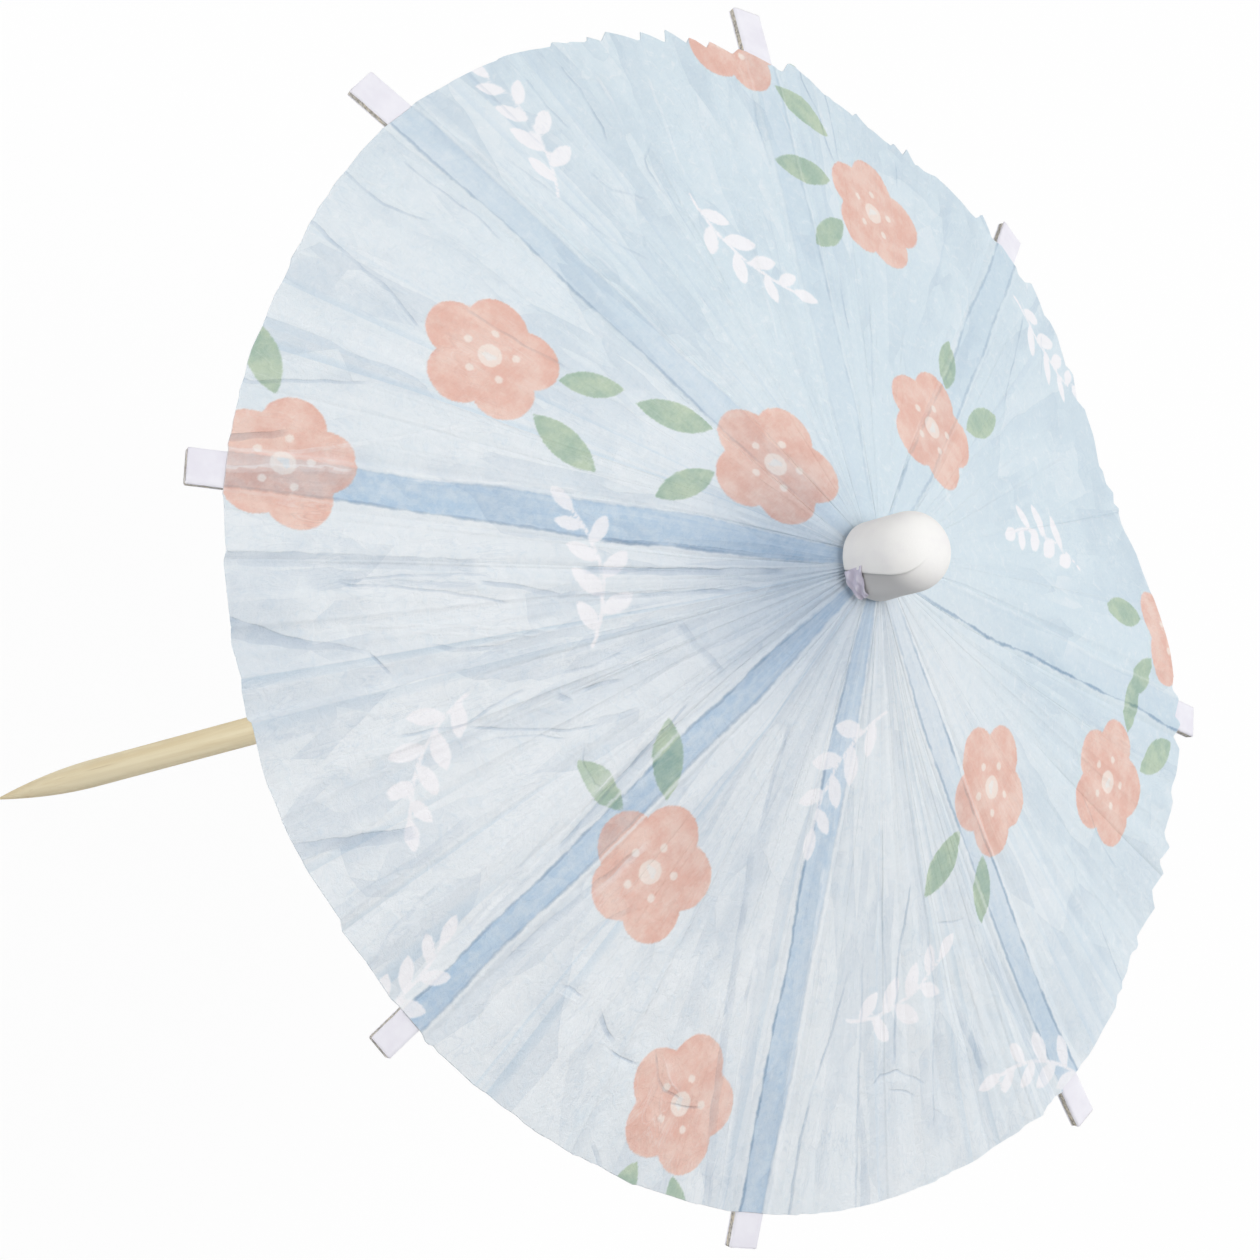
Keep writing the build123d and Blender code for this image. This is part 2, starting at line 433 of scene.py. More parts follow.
@dataclass(frozen=True)
class TissueFinish:
    """Pale blue tissue: mottled dye with painted light, fibres, pressed folds with painted shade and highlights,
    painted shade where card lies behind it, and a printed pattern.
    """

    name: str
    print_share: float
    card_share: float
    layers: int
    pale: Colour = paint(236, 241, 245)
    blue: Colour = paint(219, 233, 241)
    # Painted shade where card lies behind the sheet; also the colour of fine flecks.
    card_shade_and_fleck: Colour = paint(179, 210, 236)
    # Painted shadow line along the borders of the band over each rib.
    edge: Colour = paint(160, 184, 206)
    # Colour of double layers and random patches; also painted shade on crinkles and near the eye.
    doubled: Colour = paint(209, 225, 237)
    # Painted shade colour, multiplied in wherever the sheet is darkened.
    crease: Colour = paint(186, 201, 218)
    coral: Colour = paint(236, 184, 166)
    coral_light: Colour = paint(244, 208, 193)
    heart: Colour = paint(250, 240, 232)
    white: Colour = paint(251, 250, 253)
    green: Colour = paint(160, 188, 166)
    green_light: Colour = paint(190, 208, 180)
    lit: Colour = paint(246, 249, 252)
    # Painted highlight on light folds, wrinkle crests and the lit side of folds.
    ridge: Colour = paint(248, 251, 254)
    # Painted highlight just outside the band's borders.
    beside_card_highlight: Colour = paint(246, 250, 253)
    fibre_white: Colour = paint(255, 255, 255)
    patch_share: float = 0.12
    crinkle_dark: float = 0.3
    crinkle_light: float = 0.35
    facet_dark: float = 0.26
    facet_light: float = 0.3
    fold_dark: float = 0.95
    fold_light: float = 0.55
    groove_dark: float = 0.28
    crest_light: float = 0.26
    step_dark: float = 0.3
    step_light: float = 0.45
    fibre_share: float = 0.1
    fine_share: float = 0.08
    relief_depth: float = 0.00007
    through: float = 0.1
    rough: float = 0.8

    def material(self) -> Material:
        """Wire the tissue: dye with painted light, print, painted card shade, painted fold shade and highlights, and
        fibre relief.

        Returns:
            The material. It reads the sheet's flat place in millimetres and its vertex attributes.
        """
        g = Graph(self.name)
        flat, polar = g.attribute("flat", vector=True), g.attribute("polar", vector=True)
        fibre = g.noise(g.stretch(flat, (1.0, 0.35, 1.0)), 5.5, 4.0, 0.7, 0.6)
        fine = g.noise(flat, 14.0, 2.0, 0.6)
        crinkle = g.noise(flat, 1.3, 4.0, 0.65, 1.0)
        wrinkle = g.noise(g.stretch(polar, (1.0, 0.42, 1.0)), 1.7, 2.5, 0.55, 1.6)
        broken = g.span(g.noise(flat, 0.5, 1.5, 0.5), 0.3, 0.6, 0.4, 1.1)
        grain = g.times(g.less(fibre, 0.5), 0.22)
        facet = self.facet(g, flat, polar)
        colour, bare = self.printed(g, flat, self.dyed(g, flat, crinkle, facet), grain)
        streak, fray = g.stretch(polar, (1.0, 0.16, 1.0)), g.noise(flat, 1.5, 3.0, 0.6)
        colour = self.over_card(g, colour, bare, streak, fray, broken)
        colour = self.darker(g, colour, g.attribute("shade"))
        dark, light = self.folded(g, grain, broken)
        # Wrinkle wear sets the wrinkles' relief, their painted shade in grooves and their painted highlight on crests.
        wear_and_shade = g.times(g.attribute("wear_and_shade"), g.span(g.noise(flat, 0.22, 2.0, 0.5), 0.4, 0.65, 0.1, 1.0))
        groove, crest = (g.times(wear_and_shade, g.span(g.size(g.less(wrinkle, at)), 0.03, 0.004)) for at in (0.5, 0.57))
        step = g.attribute("step")
        # Painted shade in dark folds and wrinkle grooves, and on the shaded side of each fold; painted highlight on
        # light folds, wrinkle crests and the lit side of each fold.
        colour = self.darker(g, colour, g.plus(g.times(dark, self.fold_dark), g.times(groove, self.groove_dark)))
        colour = self.darker(g, colour, g.span(step, 0.0, -1.0, 0.0, self.step_dark))
        raised = g.plus(g.times(crest, self.crest_light), g.span(step, 0.0, 1.0, 0.0, self.step_light))
        colour = g.mix(g.plus(g.times(light, self.fold_light), raised), colour, self.ridge)
        colour = g.mix(g.span(fibre, 0.3, 0.75, 0.0, self.fibre_share), colour, self.fibre_white)
        colour = g.mix(g.span(fine, 0.55, 0.85, 0.0, self.fine_share), colour, self.card_shade_and_fleck)
        pressed, waved = g.times(g.less(light, dark), 1.2), g.times(wrinkle, wear_and_shade, 1.8)
        relief = g.plus(fibre, g.times(facet, 0.5), pressed, waved, g.times(fine, 0.5), g.times(crinkle, 1.6))
        made = g.finish(colour, self.rough, g.bump(relief, self.relief_depth, 0.7), 0.2)
        g.let_through(colour, self.through)
        return made

    def darker(self, g: Graph, colour: object, share: object) -> Socket:
        """Paint shade on a colour by a share, with the crease colour multiplied in, as in the trough of a crease."""
        return g.mix(share, colour, g.mix(0.8, colour, self.crease, "MULTIPLY"))

    def facet(self, g: Graph, flat: object, polar: object) -> Socket:
        """Crumpled facets: large ones all over and small ones in crushed patches, weaker where the sheet is calm.

        Args:
            g: Graph of the material.
            flat: Flat place on the sheet.
            polar: Place by azimuth and distance from the axis.

        Returns:
            Tilt of the facets, from about -1 to 1, for relief and for painted shade and light.
        """
        stir = g.noise(flat, 0.3, 1.5, 0.5)
        crush = g.span(g.noise(flat, 0.16, 2.0, 0.5), 0.42, 0.62)
        small = g.times(g.facets(g.stretch(polar, (1.0, 0.7, 1.0)), stir, 0.85), crush)
        large = g.facets(g.stretch(polar, (1.0, 0.5, 1.0)), stir, 0.36)
        return g.times(g.plus(large, g.times(small, 0.8)), g.attribute("crisp"))

    def dyed(self, g: Graph, flat: object, crinkle: object, facet: object) -> Socket:
        """Colour of the sheet before print: clouded dye with painted light, crinkles and facets with painted shade and
        light, and double layers.

        Args:
            g: Graph of the material.
            flat: Flat place on the sheet.
            crinkle: Noise of the small crinkles.
            facet: Tilt of the crumpled facets.

        Returns:
            The colour.
        """
        cloud = g.times(g.less(g.noise(flat, 0.07, 3.0, 0.6), 0.5), 0.7)
        patch = g.noise(flat, 0.55, 4.0, 0.65, 0.8)
        # The dye attribute is part dye and part painted light: the sheet is painted paler where the lamps light it
        # less.
        colour = g.mix(g.span(g.plus(g.attribute("dye"), cloud), 0.0, 1.0), self.pale, self.blue)
        colour = g.mix(g.span(patch, 0.4, 0.75, 0.0, self.patch_share), colour, self.doubled)
        # Painted shade and highlight on the crinkles, which also go into the relief.
        colour = g.mix(g.span(crinkle, 0.5, 0.72, 0.0, self.crinkle_dark), colour, self.doubled)
        colour = g.mix(g.span(crinkle, 0.48, 0.28, 0.0, self.crinkle_light), colour, self.lit)
        # Double layers, and near the eye painted shade over the gathered layers.
        colour = g.mix(g.attribute("doubled"), colour, self.doubled)
        # Painted shade and light on the facets by their tilt, which also goes into the relief.
        colour = self.darker(g, colour, g.span(facet, 0.0, -1.4, 0.0, self.facet_dark))
        return g.mix(g.span(facet, 0.0, 1.4, 0.0, self.facet_light), colour, self.lit)

    def printed(self, g: Graph, flat: object, colour: object, grain: object) -> tuple[Socket, Socket]:
        """Print the inks over the sheet, each with a washed tone and grainy borders.

        Args:
            g: Graph of the material.
            flat: Flat place on the sheet.
            colour: Colour of the sheet.
            grain: What the fibres add to the distance from an ink's border.

        Returns:
            The colour, and 1 where no ink covers the sheet, less under ink.
        """
        wash = g.span(g.noise(flat, 0.45, 4.0, 0.65), 0.35, 0.65)
        bare = 1.0
        for name, plain, light, strength, hides in (
            ("leaf", self.green, self.green_light, 0.88, 0.25),
            ("petal", self.coral, self.coral_light, 0.9, 0.5),
            ("heart", self.heart, self.heart, 0.75, 0.5),
            ("white", self.white, self.white, 0.94, 0.85),
        ):
            share = g.span(g.plus(g.attribute(name), grain), 0.08, -0.08, 0.0, strength * self.print_share)
            colour = g.mix(share, colour, g.mix(wash, plain, light))
            bare = g.times(bare, g.less(1.0, g.times(share, hides)))
        return colour, bare

    def folded(self, g: Graph, grain: object, broken: object) -> tuple[Socket, Socket]:
        """Painted shade and highlight of the pressed folds, from every layer of them that the sheet carries.

        Args:
            g: Graph of the material.
            grain: What the fibres add to the distance from a fold.
            broken: Strength of lines from place to place.

        Returns:
            How much painted shade and highlight the folds get.
        """
        dark, light = 0.0, 0.0
        for layer in range(self.layers):
            signed, tone, half = g.split(g.attribute(f"fold_{layer}", vector=True))
            ragged = g.plus(signed, g.times(grain, 0.35))
            inside = g.span(g.less(g.size(ragged), g.times(half, 0.8)), 0.04, -0.05)
            slant = g.plus(g.times(g.sums("DIVIDE", signed, half), 0.3), 0.7)
            seen = g.times(g.times(tone, inside), g.times(slant, broken))
            light = g.sums("MAXIMUM", seen, light)
            dark = g.sums("MAXIMUM", g.times(seen, -1.0), dark)
        return dark, light

    def over_card(
        self, g: Graph, colour: object, bare: object, streak: object, fray: object, broken: object,
    ) -> Socket:
        """Paint shade on the sheet where the card lies behind it: a streaked band with frayed borders, each with its
        own painted shadow line and painted highlight.

        Args:
            g: Graph of the material.
            colour: Colour of the printed sheet.
            bare: 1 where no ink covers the sheet, less under ink.
            streak: Place stretched along the ribs.
            fray: Noise that moves the borders.
            broken: Strength of lines from place to place.

        Returns:
            The colour with the band.
        """
        first, last, tone = g.split(g.attribute("strip", vector=True))
        low, high, lit = g.split(g.attribute("painted_band_edges", vector=True))
        moved = g.times(g.less(fray, 0.5), 0.3)
        first, last = g.plus(first, moved), g.plus(last, moved)
        weak, strong = 0.72 * self.card_share, 1.05 * self.card_share
        patchy = g.span(g.noise(streak, 1.7, 3.0, 0.6, 0.4), 0.3, 0.7, weak, strong)
        patchy = g.times(patchy, g.span(fray, 0.36, 0.62, 0.78, 1.08))
        # Painted shade where the card lies behind the sheet.
        band = g.times(g.span(g.sums("MINIMUM", first, last), -0.06, 0.1), g.times(tone, patchy))
        colour = g.mix(g.times(band, bare), colour, g.mix(0.8, colour, self.card_shade_and_fleck, "MULTIPLY"))
        # Painted shadow line along each border of the band, and a painted highlight just outside it.
        for border, amount in ((first, low), (last, high)):
            narrow = g.sums("DIVIDE", g.size(border), g.span(broken, 0.4, 1.1, 0.7, 1.6))
            line = g.times(g.span(narrow, 0.12, 0.01), g.times(amount, broken, self.card_share))
            rise = g.times(g.span(g.size(g.plus(border, 0.24)), 0.17, 0.02), g.times(lit, self.card_share))
            colour = g.mix(g.times(line, bare), colour, g.mix(0.85, colour, self.edge, "MULTIPLY"))
            colour = g.mix(rise, colour, self.beside_card_highlight)
        return colour


@dataclass(frozen=True)
class CardFinish:
    """Greyboard strip: white printed faces over a speckled grey-brown core that shows on every cut edge."""

    name: str
    face: Colour = paint(236, 235, 242)
    face_shade: Colour = paint(229, 227, 236)
    core: Colour = paint(203, 198, 190)
    core_dark: Colour = paint(146, 143, 138)
    core_tan: Colour = paint(222, 208, 180)
    rough: float = 0.72
    by_attribute: bool = True

    def material(self) -> Material:
        """Wire the card: the core shows by the strip's own attribute, or where a face looks sideways or outwards.

        Returns:
            The material.
        """
        g = Graph(self.name)
        spot = g.place()
        if self.by_attribute:
            bare = g.attribute("core")
        else:
            normal = g.place("Normal")
            outward = g.vectors("NORMALIZE", g.vectors("MULTIPLY", spot, (1.0, 1.0, 0.0)), (0.0, 0.0, 0.0))
            sideways = g.vectors("CROSS_PRODUCT", (0.0, 0.0, 1.0), outward)
            across, along = (g.size(g.vectors("DOT_PRODUCT", normal, way, "Value")) for way in (sideways, outward))
            bare = g.span(g.sums("MAXIMUM", across, along), 0.6, 0.75)
        speck = g.noise(spot, 5200.0, 3.0, 0.7)
        layer = g.noise(g.stretch(spot, (1.0, 1.0, 6.0)), 1500.0, 3.0, 0.6)
        core = g.mix(g.span(speck, 0.4, 0.62), self.core_dark, self.core)
        core = g.mix(g.span(layer, 0.5, 0.68, 0.0, 0.8), core, self.core_tan)
        mottle = g.noise(spot, 420.0, 3.0, 0.6)
        face = g.mix(g.span(mottle, 0.35, 0.7), self.face, self.face_shade)
        colour = g.mix(bare, face, core)
        relief = g.plus(g.times(speck, g.span(bare, 0.0, 1.0, 0.25, 1.0)), mottle)
        return g.finish(colour, self.rough, g.bump(relief, 0.00004, 0.6), 0.25)


@dataclass(frozen=True)
class WoodFinish:
    """Birch or bamboo stick: pale tan with long streaks and open pores along the grain."""

    name: str
    light: Colour = paint(240, 227, 194)
    mid: Colour = paint(227, 209, 170)
    dark: Colour = paint(196, 170, 124)
    rough: float = 0.62

    def material(self) -> Material:
        """Wire the wood: noise stretched along the stick for streaks, and finer noise for pores.

        Returns:
            The material.
        """
        g = Graph(self.name)
        spot = g.place()
        streak = g.noise(g.stretch(spot, (1.0, 1.0, 0.035)), 1600.0, 4.0, 0.6, 0.4)
        pore = g.noise(g.stretch(spot, (1.0, 1.0, 0.02)), 5200.0, 3.0, 0.6)
        bloom = g.noise(g.stretch(spot, (1.0, 1.0, 0.2)), 180.0, 2.0, 0.5)
        colour = g.mix(g.span(streak, 0.3, 0.7), self.mid, self.light)
        colour = g.mix(g.span(bloom, 0.45, 0.75, 0.0, 0.5), colour, self.light)
        colour = g.mix(g.span(pore, 0.58, 0.8, 0.0, 0.55), colour, self.dark)
        return g.finish(colour, self.rough, g.bump(g.plus(streak, pore), 0.00003, 0.7), 0.3)


@dataclass(frozen=True)
class WoundFinish:
    """Plain white paper, wound and glued: fine fibre, faint layer lines and a soft tone."""

    name: str
    base: Colour = paint(239, 238, 236)
    shade: Colour = paint(235, 233, 233)
    fleck: Colour = paint(176, 176, 184)
    fleck_share: float = 0.0
    # Painted grey shade, laid where the piece's under attribute asks: past the cap's lap and in the corner's valleys.
    inner: Colour = paint(192, 191, 191)
    painted_shade_share: float = 0.0
    rough: float = 0.7

    def material(self) -> Material:
        """Wire the paper: mottled white, optional pulp flecks and bare inner layer, fibre relief.

        Returns:
            Wire the paper: mottled white, optional pulp flecks and optional grey painted shade, fibre relief.
        """
        g = Graph(self.name)
        spot = g.place()
        mottle = g.noise(spot, 520.0, 3.0, 0.6)
        fibre = g.noise(g.stretch(spot, (1.0, 1.0, 3.0)), 3400.0, 4.0, 0.65, 0.5)
        colour = g.mix(g.span(mottle, 0.4, 0.75), self.base, self.shade)
        if self.fleck_share > 0:
            pulp = g.noise(spot, 1900.0, 2.0, 0.5)
            colour = g.mix(g.span(pulp, 0.6, 0.72, 0.0, self.fleck_share), colour, self.fleck)
        # Painted grey shade, laid by the under attribute.
        if self.painted_shade_share > 0:
            colour = g.mix(g.times(g.attribute("under"), self.painted_shade_share), colour, self.inner)
        return g.finish(colour, self.rough, g.bump(fibre, 0.00003, 0.6), 0.25)


@dataclass(frozen=True)
class PlasticFinish:
    """Small moulded ring: milky plastic, slightly satin."""

    name: str
    base: Colour = paint(236, 238, 240)
    shade: Colour = paint(222, 226, 231)
    rough: float = 0.35

    def material(self) -> Material:
        """Wire the plastic: faint flow marks in colour, roughness and relief.

        Returns:
            The material.
        """
        g = Graph(self.name)
        flow = g.noise(g.place(), 900.0, 3.0, 0.5)
        colour = g.mix(g.span(flow, 0.35, 0.7), self.base, self.shade)
        return g.finish(colour, g.span(flow, 0.3, 0.7, self.rough, self.rough + 0.15), g.bump(flow, 0.00001, 0.5), 0.45)


@dataclass(frozen=True)
class Layout:
    """Sizes that several pieces share, in millimetres and degrees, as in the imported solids."""

    scatter: tuple[float, ...] = (-1.0, -3.5, 5.0, 2.5, 0.0, -2.5, 3.5, -3.5)
    crease_radius: float = 1.765
    crown_z: float = 95.4
    slope_deg: float = 20.0
    rib_length: float = 41.8
    rib_width: float = 2.3
    root_width: float = 0.909
    taper_length: float = 10.0
    rib_thickness: float = 0.6
    paper_eye: float = 2.12
    bow: tuple[float, ...] = (-1.52, -1.41, -0.52, 0.14, 1.83, 0.62, -1.31, -0.65)
    rib_extra: tuple[float, ...] = (-0.28, 0.02, 0.06, 0.1, 1.71, 0.67, -1.0, -0.7)
    rib_trim: tuple[float, ...] = (0.0, 0.0, 0.22, 0.04, 0.18, 0.1, 0.14, 0.04)
    rim_mean: float = 38.58
    rim_waves: tuple[float, float, float, float] = (-0.91, 0.70, 0.31, 0.63)

    def azimuth(self, number: int) -> float:
        """Azimuth of a rib in radians, counted on past a full turn."""
        turns, place = divmod(number, len(self.scatter))
        return math.radians(360 * turns + 45.0 * place + self.scatter[place])

    @property
    def slope(self) -> float:
        """Fall of the cone per millimetre outwards."""
        return math.tan(math.radians(self.slope_deg))

    @property
    def lean(self) -> float:
        """Cosine of the cone's slope."""
        return math.cos(math.radians(self.slope_deg))

    @property
    def cone_top(self) -> float:
        """Height of the cone's apex, just over the top faces of the ribs."""
        return self.crown_z + self.rib_thickness / 2 / self.lean + self.crease_radius * self.slope

    def climb(self, out: Array) -> Array:
        """Cube of the share of a rib's reach at a distance from the axis: how a rib's bow grows along it."""
        return (np.clip(out - self.crease_radius, 0.0, None) / (self.rib_length * self.lean)) ** 3

    def rim(self, azimuth: Array) -> Array:
        """Radius of the hand-cut rim: a mean with one and two waves round the sheet.

        Args:
            azimuth: Azimuth in radians.

        Returns:
            The radius in millimetres.
        """
        one_x, one_y, two_x, two_y = self.rim_waves
        waves = self.rim_mean + one_x * np.cos(azimuth) + one_y * np.sin(azimuth)
        return waves + two_x * np.cos(2 * azimuth) + two_y * np.sin(2 * azimuth)

    def half_width(self, along: Array) -> Array:
        """Half the width of a rib at a distance along it: it widens from the root to the full width."""
        share = np.clip(along / self.taper_length, 0.0, 1.0)
        return 0.5 * (self.root_width + share * (self.rib_width - self.root_width))


class Motif(Enum):
    """Printed motifs: a round-petalled blossom with two leaves, and a white leafy sprig."""

    BLOSSOM = 0
    SPRIG = 1


@dataclass(frozen=True)
class Print:
    """Scattered print on the flat sheet: sites on an even spiral, blossoms and sprigs in turn."""

    sites: int = 21
    spread: float = 40.0
    first: float = 0.9
    golden: float = math.radians(137.508)
    swing: float = 1.9
    petals: int = 5
    petal_reach: float = 2.25
    petal_radius: float = 1.95
    heart_radius: float = 0.75
    stamen_reach: float = 1.6
    stamen_radius: float = 0.26
    leaf_length: float = 5.0
    leaf_width: float = 2.0
    leaf_start: float = 4.3
    sprig_bend: float = 9.0
    sprig_reach: float = 4.6
    leaflets: tuple[float, ...] = (-3.6, -2.5, -1.4, -0.3, 0.8, 1.9, 3.0)
    leaflet_length: float = 2.5
    leaflet_width: float = 1.15
    petal_swing: float = 0.09
    leaf_ways: tuple[tuple[float, float], ...] = ((0.32, 1.0), (1.02, 0.86))
    leaf_lean: float = 0.25
    stem_half: float = 0.11
    leaflet_lean: float = 0.85
    leaflet_shrink: float = 0.06
    end_size: float = 0.8
    outside: float = 9.0

    def disc(self, u: Array, v: Array, at: tuple[float, float], radius: float) -> Array:
        """Signed distance to a disc's edge, below 0 inside."""
        return np.hypot(u - at[0], v - at[1]) - radius

    def leaf(self, u: Array, v: Array, root: tuple[float, float], turn: float, length: float, width: float) -> Array:
        """Signed distance to a leaf: where two equal discs overlap, a pointed oval along its own axis.

        Args:
            u: First coordinate in the motif's frame.
            v: Second coordinate.
            root: Near point of the leaf.
            turn: Direction of the leaf.
            length: Length of the leaf.
            width: Width of the leaf.

        Returns:
            The distance, below 0 inside.
        """
        a = (u - root[0]) * math.cos(turn) + (v - root[1]) * math.sin(turn) - length / 2
        b = -(u - root[0]) * math.sin(turn) + (v - root[1]) * math.cos(turn)
        radius = (length**2 / 4 + width**2 / 4) / width
        offset = radius - width / 2
        return np.maximum(np.hypot(a, b - offset), np.hypot(a, b + offset)) - radius

    def blossom(self, u: Array, v: Array) -> dict[str, Array]:
        """Signed distances of one blossom: petal discs round a heart with stamens, and two leaves beside it.

        Args:
            u: First coordinate in the motif's frame.
            v: Second coordinate.

        Returns:
            One field per ink.
        """
        heart = self.disc(u, v, (0.0, 0.0), self.heart_radius)
        petal, leaf = np.full(u.shape, self.outside), np.full(u.shape, self.outside)
        for number in range(self.petals):
            way = math.tau * number / self.petals
            at = (math.cos(way), math.sin(way))
            reach = self.petal_reach * (1.0 + self.petal_swing * math.sin(2.3 * number))
            stamen = (at[0] * self.stamen_reach, at[1] * self.stamen_reach)
            petal = np.minimum(petal, self.disc(u, v, (at[0] * reach, at[1] * reach), self.petal_radius))
            heart = np.minimum(heart, self.disc(u, v, stamen, self.stamen_radius))
        for way, size in self.leaf_ways:
            root = (self.leaf_start * math.cos(way), self.leaf_start * math.sin(way))
            length, width = self.leaf_length * size, self.leaf_width * size
            leaf = np.minimum(leaf, self.leaf(u, v, root, way + self.leaf_lean, length, width))
        return {"heart": heart, "petal": petal, "leaf": leaf}

    def sprig(self, u: Array, v: Array) -> dict[str, Array]:
        """Signed distances of one sprig: a thin arched stem with leaflets on both sides and one at its end.

        Args:
            u: First coordinate in the motif's frame.
            v: Second coordinate.

        Returns:
            One field per ink.
        """
        bend = self.sprig_bend
        stem = np.abs(np.hypot(u, v - bend) - bend) - self.stem_half
        white = np.maximum(np.maximum(stem, np.abs(u) - self.sprig_reach), v - bend)
        for number, place in enumerate(self.leaflets):
            lean = place / bend
            root = (bend * math.sin(lean), bend * (1 - math.cos(lean)))
            turn = lean + (self.leaflet_lean if number % 2 == 0 else -self.leaflet_lean)
            size = 1.0 - self.leaflet_shrink * abs(number - 2)
            leaflet = self.leaf(u, v, root, turn, self.leaflet_length * size, self.leaflet_width * size)
            white = np.minimum(white, leaflet)
        lean = self.sprig_reach / bend
        root = (bend * math.sin(lean) - 0.4, bend * (1 - math.cos(lean)) - 0.2)
        end = self.leaf(u, v, root, lean, self.leaflet_length * self.end_size, self.leaflet_width * self.end_size)
        return {"white": np.minimum(white, end)}

    def distances(self, x: Array, y: Array) -> dict[str, Array]:
        """Signed distances on the flat sheet to the edges of each ink.

        Args:
            x: Flat place of each vertex, in millimetres.
            y: The other coordinate.

        Returns:
            One field per ink, clamped to a few millimetres.
        """
        inks = {name: np.full(x.shape, CLAMP) for name in ("petal", "heart", "leaf", "white")}
        for site in range(self.sites):
            reach = self.spread * math.sqrt((site + self.first) / self.sites)
            turn, spin = site * self.golden, site * self.swing
            du, dv = x - reach * math.cos(turn), y - reach * math.sin(turn)
            u = du * math.cos(spin) + dv * math.sin(spin)
            v = -du * math.sin(spin) + dv * math.cos(spin)
            motif = Motif.BLOSSOM if site % 2 == 0 else Motif.SPRIG
            drawn = self.blossom(u, v) if motif is Motif.BLOSSOM else self.sprig(u, v)
            for name, distance in drawn.items():
                inks[name] = np.minimum(inks[name], distance)
        return {name: np.clip(distance, -CLAMP, CLAMP) for name, distance in inks.items()}


@dataclass(frozen=True)
class Fold:
    """One pressed line or stripe: painted tone (shade below 0, highlight above), half width at both ends, path in mm,
    step of painted shade and light to its left.
    """

    tone: float
    start: float
    end: float
    path: tuple[tuple[float, float], ...]
    step: float = 0.0
    rim_from: float = 36.3
    run_on: float = 1.07
    fade_share: float = 0.35
    fade_most: float = 0.8

    @property
    def half(self) -> float:
        """Greatest half width."""
        return max(self.start, self.end)

    def points(self, step: float = 0.0) -> Array:
        """Path from its first point to its last, run on past the rim where it starts there.

        Args:
            step: Distance between points, or 0 for the points of the path alone.

        Returns:
            The points, one row each.
        """
        points = np.array(self.path)
        if np.hypot(*points[0]) > self.rim_from:
            points = np.concatenate([[points[0] * self.run_on], points])
        if step > 0:
            run = np.concatenate([[0.0], np.cumsum(np.hypot(*np.diff(points, axis=0).T))])
            places = np.linspace(0.0, run[-1], max(2, int(run[-1] / step)))
            points = np.stack([np.interp(places, run, points[:, axis]) for axis in (0, 1)], axis=-1)
        return points

    def measure(self, x: Array, y: Array) -> tuple[Array, Array, Array]:
        """Place of each vertex against the fold, from the nearest piece of its path.

        Args:
            x: Flat place of each vertex.
            y: The other coordinate.

        Returns:
            Signed distance to the path, half width there, and 1 along the path fading to 0 at both ends.
        """
        points = self.points()
        ways = np.diff(points, axis=0)
        long = np.hypot(*ways.T)
        run = np.concatenate([[0.0], np.cumsum(long)])
        near, side, place = np.full(x.shape, FAR), np.ones(x.shape), np.zeros(x.shape)
        for piece, (at, way) in enumerate(zip(points, ways)):
            dx, dy = way / long[piece]
            along = (x - at[0]) * dx + (y - at[1]) * dy
            held = np.clip(along, 0.0, long[piece])
            left = -(x - at[0]) * dy + (y - at[1]) * dx
            gap = np.hypot(left, along - held)
            closer = gap < near
            near = np.where(closer, gap, near)
            side = np.where(closer, np.where(left < 0, -1.0, 1.0), side)
            before, after = (piece == 0) & (along < 0), (piece == len(ways) - 1) & (along > long[piece])
            place = np.where(closer, run[piece] + np.where(before | after, along, held), place)
        fade = min(self.fade_most, self.fade_share * run[-1])
        ends = smoothstep(0.0, fade, place) * smoothstep(0.0, fade, run[-1] - place)
        return near * side, self.start + (self.end - self.start) * np.clip(place / run[-1], 0.0, 1.0), ends


